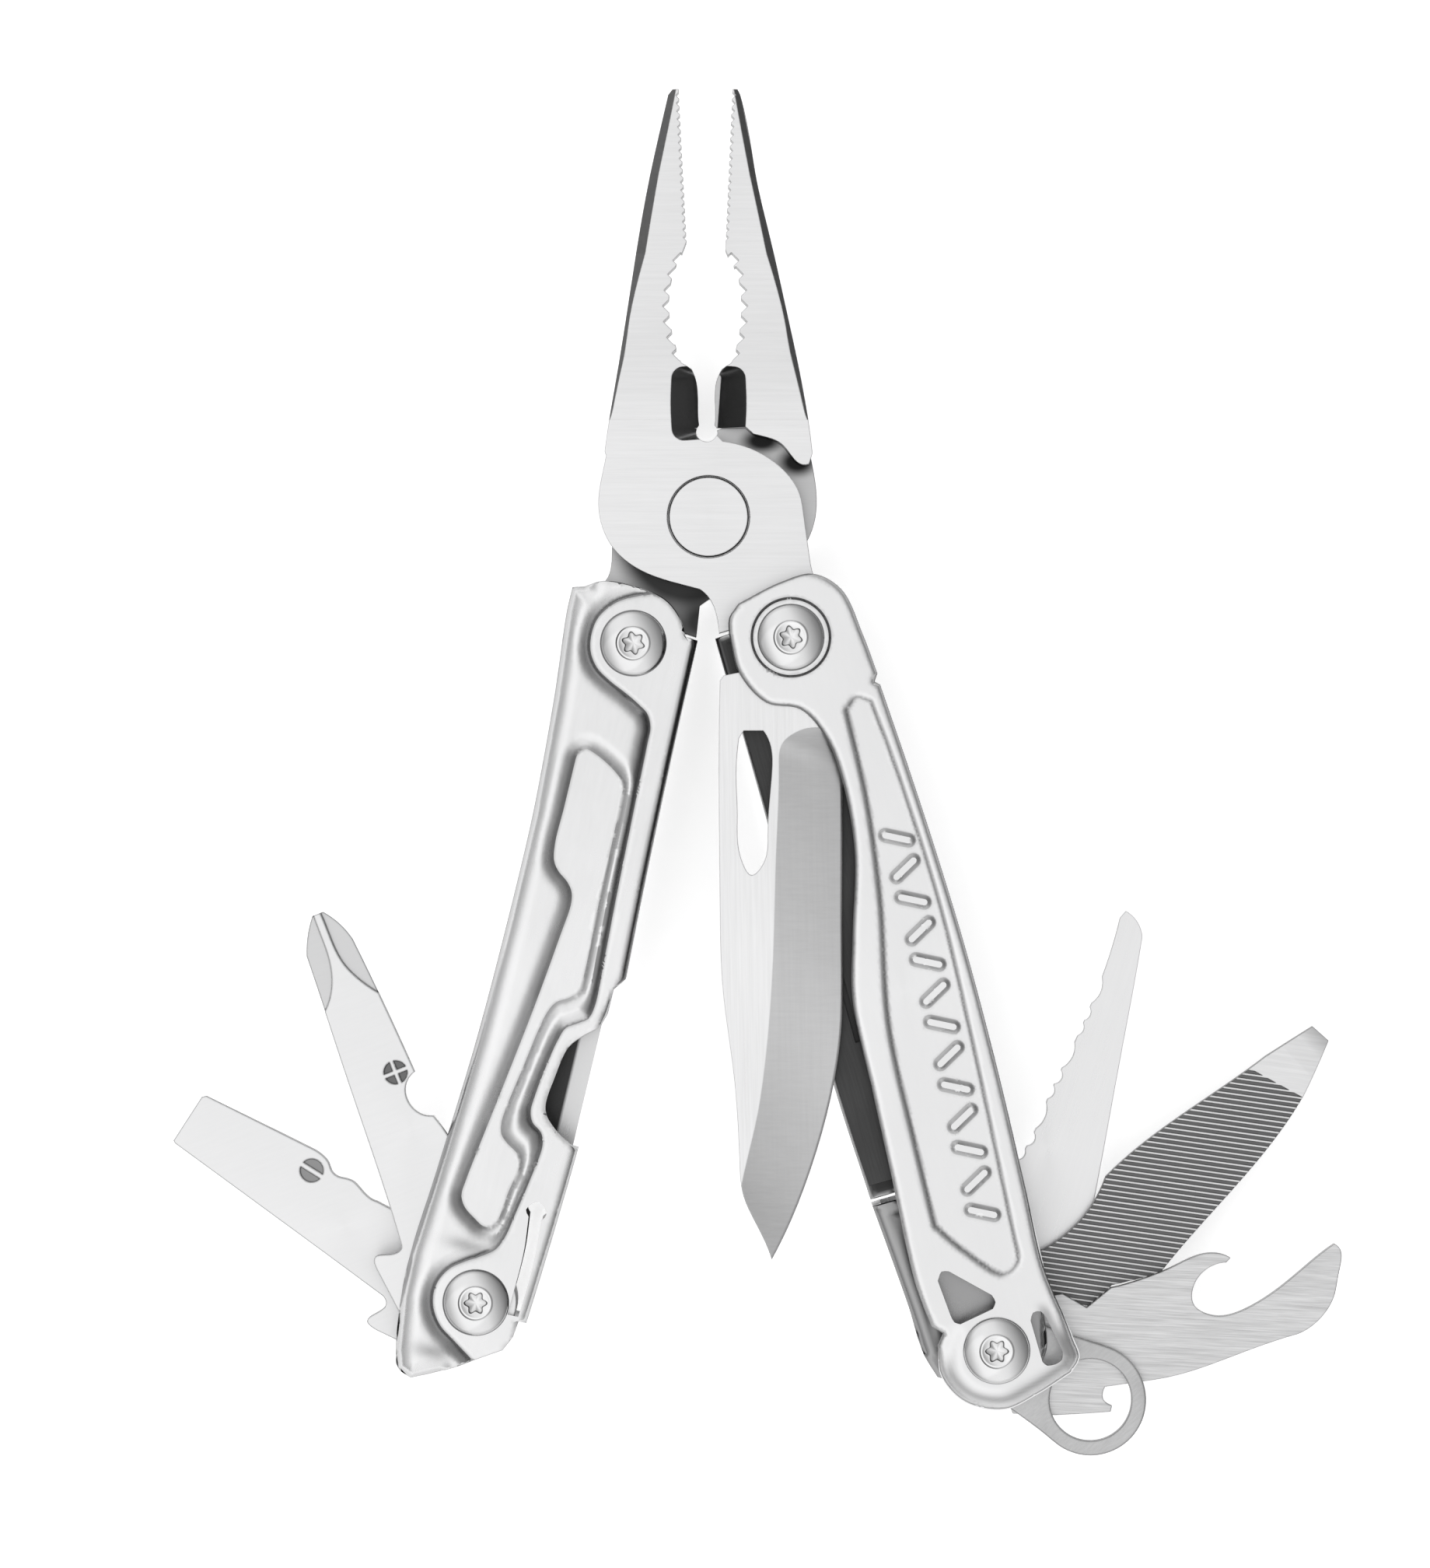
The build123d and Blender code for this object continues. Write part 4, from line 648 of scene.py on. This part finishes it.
def steel(name, light, dark, rough, grain, angle, cross=3800.0, along=160.0, bump=0.12, shade=0.45,
          slope=(0.80, 0.97), deep=None, wall=0.35, toned=False, second=None, edge=0.15, spots=()):
    """Steel with a brushed grain lying along angle, cloudy tone, and painted shade on steep faces.
    deep is a list of heights in mm with a painted shade brightness each, toned reads the
    painted shade kept in the mesh's tone attribute, and second is the direction of the grain
    on sloped faces. edge is the reach of the painted dark line on edges in mm, and each spot is
    a patch of painted shade: a centre, radii in mm, the share of them that is all dark, and its brightness."""
    m = bpy.data.materials.new(name)
    m.use_nodes = True
    t = m.node_tree
    n, link = t.nodes, t.links.new
    shader = n["Principled BSDF"]
    shader.inputs["Metallic"].default_value = 1.0
    shader.inputs["Anisotropic"].default_value = ANISOTROPY
    where = n.new("ShaderNodeTexCoord")

    def grain_along(direction):
        spin = n.new("ShaderNodeMapping")
        spin.inputs["Rotation"].default_value = (0, 0, math.radians(-direction))
        link(where.outputs["Object"], spin.inputs["Vector"])
        stretch = n.new("ShaderNodeMapping")
        stretch.inputs["Scale"].default_value = (along, cross, cross)
        link(spin.outputs["Vector"], stretch.inputs["Vector"])
        noise = n.new("ShaderNodeTexNoise")
        noise.inputs["Scale"].default_value = 1.0
        noise.inputs["Detail"].default_value = 5.0
        noise.inputs["Roughness"].default_value = 0.65
        link(stretch.outputs["Vector"], noise.inputs["Vector"])
        return noise.outputs["Fac"]

    def away(centre, radii):
        """Distance from a centre, 1 on the ellipsoid of the given radii, all in mm."""
        shift = n.new("ShaderNodeVectorMath")
        shift.operation = "SUBTRACT"
        shift.inputs[1].default_value = [v * MM for v in centre]
        link(where.outputs["Object"], shift.inputs[0])
        squeeze = n.new("ShaderNodeVectorMath")
        squeeze.operation = "DIVIDE"
        squeeze.inputs[1].default_value = [v * MM for v in radii]
        link(shift.outputs["Vector"], squeeze.inputs[0])
        length = n.new("ShaderNodeVectorMath")
        length.operation = "LENGTH"
        link(squeeze.outputs["Vector"], length.inputs[0])
        return length.outputs["Value"]

    cloud = n.new("ShaderNodeTexNoise")
    cloud.inputs["Scale"].default_value = CLOUD_SCALE
    cloud.inputs["Detail"].default_value = 3.0
    link(where.outputs["Object"], cloud.inputs["Vector"])
    speck = n.new("ShaderNodeTexNoise")
    speck.inputs["Scale"].default_value = SPECK_SCALE
    speck.inputs["Detail"].default_value = 2.0
    link(where.outputs["Object"], speck.inputs["Vector"])

    split = n.new("ShaderNodeSeparateXYZ")
    if edge:
        # the Bevel normal rounds the shading of edges and, through the slope factors, paints a dark line on
        # them (painted shade)
        edge_shade_bevel = n.new("ShaderNodeBevel")
        edge_shade_bevel.samples = 4
        edge_shade_bevel.inputs["Radius"].default_value = edge * MM
        link(edge_shade_bevel.outputs["Normal"], split.inputs["Vector"])
    else:
        link(n.new("ShaderNodeNewGeometry").outputs["Normal"], split.inputs["Vector"])
    size = n.new("ShaderNodeMath")
    size.operation = "ABSOLUTE"
    link(split.outputs["Z"], size.inputs[0])
    brush = grain_along(angle)
    if second is not None:
        level = n.new("ShaderNodeMapRange")
        level.inputs["From Min"].default_value = slope[0]
        level.inputs["From Max"].default_value = slope[1]
        link(size.outputs[0], level.inputs["Value"])
        pick = n.new("ShaderNodeMix")
        pick.data_type = "FLOAT"
        link(level.outputs["Result"], pick.inputs[0])
        link(grain_along(second), pick.inputs[2])
        link(brush, pick.inputs[3])
        brush = pick.outputs[0]

    tone = n.new("ShaderNodeValToRGB")
    tone.color_ramp.elements[0].position = 0.3
    tone.color_ramp.elements[0].color = (dark, dark, dark * 1.005, 1)
    tone.color_ramp.elements[1].position = 0.7
    tone.color_ramp.elements[1].color = (light, light, light * 1.005, 1)
    blend = n.new("ShaderNodeMix")
    blend.data_type = "FLOAT"
    blend.inputs[0].default_value = grain
    link(cloud.outputs["Fac"], blend.inputs[2])
    link(brush, blend.inputs[3])
    link(blend.outputs[0], tone.inputs["Fac"])

    steep = n.new("ShaderNodeMapRange")
    steep.interpolation_type = "SMOOTHSTEP"
    steep.inputs["From Min"].default_value = slope[0]
    steep.inputs["From Max"].default_value = slope[1]
    steep.inputs["To Min"].default_value = shade
    steep.inputs["To Max"].default_value = 1.0
    link(size.outputs[0], steep.inputs["Value"])
    dim = n.new("ShaderNodeMix")
    dim.data_type = "RGBA"
    dim.blend_type = "MULTIPLY"
    dim.inputs[0].default_value = 1.0
    link(tone.outputs["Color"], dim.inputs[6])
    sheer = n.new("ShaderNodeMapRange")
    sheer.interpolation_type = "SMOOTHSTEP"
    sheer.inputs["From Min"].default_value = SHEER[0]
    sheer.inputs["From Max"].default_value = SHEER[1]
    sheer.inputs["To Min"].default_value = wall
    sheer.inputs["To Max"].default_value = 1.0
    link(size.outputs[0], sheer.inputs["Value"])
    factors = [steep.outputs["Result"], sheer.outputs["Result"]]
    if deep:
        place = n.new("ShaderNodeSeparateXYZ")
        link(where.outputs["Object"], place.inputs["Vector"])
        level = n.new("ShaderNodeMath")
        level.operation = "DIVIDE"
        level.inputs[1].default_value = DEEP_SPAN * MM
        link(place.outputs["Z"], level.inputs[0])
        layers = n.new("ShaderNodeValToRGB")
        for i, (z, value) in enumerate(deep):
            e = layers.color_ramp.elements[i] if i < 2 else layers.color_ramp.elements.new(z / DEEP_SPAN)
            e.position = z / DEEP_SPAN
            e.color = (value, value, value, 1)
        link(level.outputs[0], layers.inputs["Fac"])
        factors.append(layers.outputs["Color"])
    for spot in spots:
        fade = n.new("ShaderNodeMapRange")
        fade.interpolation_type = "SMOOTHSTEP"
        fade.inputs["From Min"].default_value = spot[6]
        fade.inputs["To Min"].default_value = spot[7]
        link(away(spot[:3], spot[3:6]), fade.inputs["Value"])
        factors.append(fade.outputs["Result"])
    if toned:
        # painted shade stored in each mesh's tone attribute
        painted_shade_attr = n.new("ShaderNodeAttribute")
        painted_shade_attr.attribute_name = "tone"
        factors.append(painted_shade_attr.outputs["Fac"])
    total = factors[0]
    for factor in factors[1:]:
        product = n.new("ShaderNodeMath")
        product.operation = "MULTIPLY"
        link(total, product.inputs[0])
        link(factor, product.inputs[1])
        total = product.outputs[0]
    link(total, dim.inputs[7])
    link(dim.outputs[2], shader.inputs["Base Color"])

    gloss = n.new("ShaderNodeMapRange")
    gloss.inputs["To Min"].default_value = max(0.05, rough - ROUGH_SWING)
    gloss.inputs["To Max"].default_value = rough + ROUGH_SWING
    link(blend.outputs[0], gloss.inputs["Value"])
    link(gloss.outputs["Result"], shader.inputs["Roughness"])

    relief = n.new("ShaderNodeMix")
    relief.data_type = "FLOAT"
    relief.inputs[0].default_value = 0.25
    link(brush, relief.inputs[2])
    link(speck.outputs["Fac"], relief.inputs[3])
    fine = n.new("ShaderNodeBump")
    fine.inputs["Strength"].default_value = bump
    fine.inputs["Distance"].default_value = FINE_DEPTH
    link(relief.outputs[0], fine.inputs["Height"])
    if edge:
        link(edge_shade_bevel.outputs["Normal"], fine.inputs["Normal"])
    soft = n.new("ShaderNodeBump")
    soft.inputs["Strength"].default_value = WAVE_STRENGTH
    soft.inputs["Distance"].default_value = WAVE_DEPTH
    link(cloud.outputs["Fac"], soft.inputs["Height"])
    link(fine.outputs["Normal"], soft.inputs["Normal"])
    link(soft.outputs["Normal"], shader.inputs["Normal"])
    return m


def paint(material, *names):
    """Give one material to pieces, or to CAD nodes by name."""
    for name in names:
        obj = nodes[name] if isinstance(name, str) else name
        obj.data.materials.clear()
        obj.data.materials.append(material)


# shade where one jaw lies on the other: centre and radii in mm, share all dark, brightness
LAP_SHADE = ((-7.5, 26.5, 6.45, 9.6, 9.6, 0.9, 0.68, 0.08), (-6.0, 17.0, 6.45, 5.0, 4.2, 0.9, 0.2, 0.08),
             (0.8, 37.6, 6.45, 3.2, 1.8, 0.9, 0.3, 0.04), (4.8, 35.2, 6.45, 3.0, 2.2, 0.9, 0.3, 0.04))
# painted shade: a darker band at the lap height, plus the LAP_SHADE spots, where one jaw lies on the other
jaw = steel("jaw_brushed", 0.86, 0.78, 0.30, 0.8, 0, cross=2600, along=90, shade=0.22, slope=(0.80, 0.975),
            deep=((5.9, 1.0), (6.2, 0.66), (6.7, 0.66), (7.2, 1.0)), wall=0.75, edge=0.16,
            spots=LAP_SHADE)
formed = steel("handle_formed", 0.86, 0.77, 0.27, 0.3, LEFT_TURN + 90, cross=1500, along=260, shade=0.62,
               slope=(0.45, 0.92), bump=0.05, toned=True, edge=0)
covering = steel("cover_satin", 0.87, 0.81, 0.33, 0.3, RIGHT_TURN + 90, cross=1500, along=400, shade=0.5,
                 slope=(0.5, 0.96), bump=0.06, toned=True, edge=0)
right_steel = steel("channel_formed", 0.86, 0.77, 0.27, 0.3, RIGHT_TURN + 90, cross=1500, along=260,
                    shade=0.62, slope=(0.45, 0.92), bump=0.05, toned=True, edge=0)
# painted shade: the liner lock and knife stop pin lie in shade under the cover and are painted near black
inner = steel("channel_inner_painted_shade", 0.09, 0.04, 0.4, 0.3, RIGHT_TURN + 90, shade=0.3)
knife = steel("blade_brushed", 0.89, 0.78, 0.30, 0.85, 91, cross=3000, along=70, shade=0.58,
              slope=(0.988, 0.998), second=-1)
# painted shade: dark lines at about 4.2 mm and 10.4 mm height, and darker scoop floors near 9.85 mm
tool_left = steel("driver_satin", 0.83, 0.78, 0.30, 0.5, 20, cross=2200, along=200, shade=0.2,
                  slope=(0.80, 0.99), edge=0.3,
                  deep=((4.17, 1.0), (4.19, 0.12), (4.23, 0.12), (4.25, 1.0), (9.8, 0.8), (9.88, 0.8),
                        (9.95, 1.0), (10.35, 1.0), (10.37, 0.12), (10.43, 0.12), (10.45, 1.0)))
tool_right = steel("leaf_brushed", 0.80, 0.50, 0.30, 0.9, -3, cross=5200, along=170, shade=0.3, edge=0.2)
ring_steel = steel("ring_worn", 0.66, 0.42, 0.26, 0.25, 40, cross=3600, along=900, shade=0.25,
                   slope=(0.7, 0.99), edge=0.4)
saw = steel("serrated_satin", 0.84, 0.79, 0.28, 0.5, 72, cross=2400, along=120, shade=0.8,
            slope=(0.8, 0.99))
# painted shade: the file's groove floors near 5.93 mm height are darkened
cut = steel("file_cut", 0.86, 0.70, 0.35, 0.8, -8, cross=2400, along=90, shade=0.5,
            deep=((5.93, 0.16), (6.12, 1.0)))
bolt = steel("screw_polished", 0.86, 0.80, 0.16, 0.3, 0, cross=1200, along=1200, shade=0.8,
             slope=(0.2, 0.95), bump=0.03, toned=True, edge=0)
barrel = steel("post_polished", 0.84, 0.78, 0.18, 0.3, 0, cross=1200, along=1200, shade=0.8,
               slope=(0.2, 0.95), bump=0.03)
plain = steel("washer_plain", 0.45, 0.35, 0.35, 0.3, 0, shade=0.4)

paint(jaw, "front_jaw", "rear_jaw", "jaw_pivot_pin")
paint(formed, *left_shell, "left_channel")
paint(covering, cover, flange, "right_cover")
paint(right_steel, *right_shell, "right_channel")
paint(inner, "liner_lock", "knife_stop_pin")
paint(knife, "knife_blade")
paint(tool_left, "phillips_driver", "flat_driver")
paint(tool_right, "can_opener")
paint(ring_steel, "lanyard_ring")
paint(saw, "serrated_blade")
paint(cut, "file")
paint(bolt, *screws)
paint(barrel, *[f"{side}_{place}_{kind}" for side in ("left", "right") for place in ("head", "tool")
                for kind in ("post", "screw")])
paint(plain, "left_tang_spacer", "right_tang_spacer", "knife_washers", "left_tool_spacer",
      "right_tool_washer", "cover_spacer")

# ------------------------------------------------------------------ stage, light and camera
FLOOR_GLOW, KEY_POWER = 0.55, 0.6
SKY_STRENGTH = 1.11
SKY_ACROSS = (0.95, 0.30, 0.0)             # the sky darkens along this direction
SKY_LEVELS = ((0.1, 0.45), (0.26, 0.88), (0.42, 0.93), (0.57, 0.86), (0.66, 0.66), (0.75, 0.48),
              (0.9, 0.26))

floor_data = bpy.data.meshes.new("floor")
floor_data.from_pydata([(-3, -3, 0), (3, -3, 0), (3, 3, 0), (-3, 3, 0)], [], [(0, 1, 2, 3)])
floor = bpy.data.objects.new("floor", floor_data)
bpy.context.scene.collection.objects.link(floor)
pale = bpy.data.materials.new("floor_pale")
pale.use_nodes = True
paper = pale.node_tree.nodes["Principled BSDF"].inputs
paper["Base Color"].default_value = (0.95, 0.95, 0.95, 1)
paper["Roughness"].default_value = 0.9
paper["Specular IOR Level"].default_value = 0.1
paper["Emission Color"].default_value = (1, 1, 1, 1)
paper["Emission Strength"].default_value = FLOOR_GLOW
floor_data.materials.append(pale)

world = bpy.data.worlds.new("studio")
bpy.context.scene.world = world
world.use_nodes = True
wn, wl = world.node_tree.nodes, world.node_tree.links.new
sky = wn["Background"]
look = wn.new("ShaderNodeTexCoord")
across = wn.new("ShaderNodeVectorMath")
across.operation = "DOT_PRODUCT"
across.inputs[1].default_value = SKY_ACROSS
wl(look.outputs["Generated"], across.inputs[0])
spread = wn.new("ShaderNodeMapRange")
spread.inputs["From Min"].default_value = -1.0
spread.inputs["From Max"].default_value = 1.0
wl(across.outputs["Value"], spread.inputs["Value"])
ramp = wn.new("ShaderNodeValToRGB")
ramp.color_ramp.elements[0].position = 0.0
ramp.color_ramp.elements[0].color = (0.40, 0.40, 0.40, 1)
ramp.color_ramp.elements[1].position = 1.0
ramp.color_ramp.elements[1].color = (0.2, 0.2, 0.2, 1)
for place, level in SKY_LEVELS:
    e = ramp.color_ramp.elements.new(place)
    e.color = (level, level, level, 1)
wl(spread.outputs["Result"], ramp.inputs["Fac"])
wl(ramp.outputs["Color"], sky.inputs["Color"])
sky.inputs["Strength"].default_value = SKY_STRENGTH


def area(name, place, aim, size, power):
    """Rectangular light at a place, turned to the point it lights."""
    data = bpy.data.lights.new(name, "AREA")
    data.shape = "RECTANGLE"
    data.size, data.size_y = size
    data.energy = power
    obj = bpy.data.objects.new(name, data)
    obj.location = place
    obj.rotation_euler = (Vector(aim) - Vector(place)).to_track_quat("-Z", "Y").to_euler()
    bpy.context.scene.collection.objects.link(obj)
    return obj


area("key", (-0.45, -0.35, 0.75), (0, 0, 0), (1.2, 1.2), KEY_POWER)

CAMERA_HEIGHT, VIEW_TALL = 0.9, 0.1774     # metres
SENSOR = 36.0
AIM = (0.73, -30.29)                       # mm from the jaw pivot to the middle of the view
MID_HEIGHT = 0.012
cam_data = bpy.data.cameras.new("camera")
cam_data.sensor_fit = "VERTICAL"
cam_data.sensor_height = SENSOR
cam_data.lens = SENSOR * CAMERA_HEIGHT / VIEW_TALL
cam = bpy.data.objects.new("camera", cam_data)
cam.location = ((JAW_PIVOT[0] + AIM[0]) * MM, (JAW_PIVOT[1] + AIM[1]) * MM, MID_HEIGHT + CAMERA_HEIGHT)
bpy.context.scene.collection.objects.link(cam)
bpy.context.scene.camera = cam
bpy.context.scene.view_settings.view_transform = "Standard"
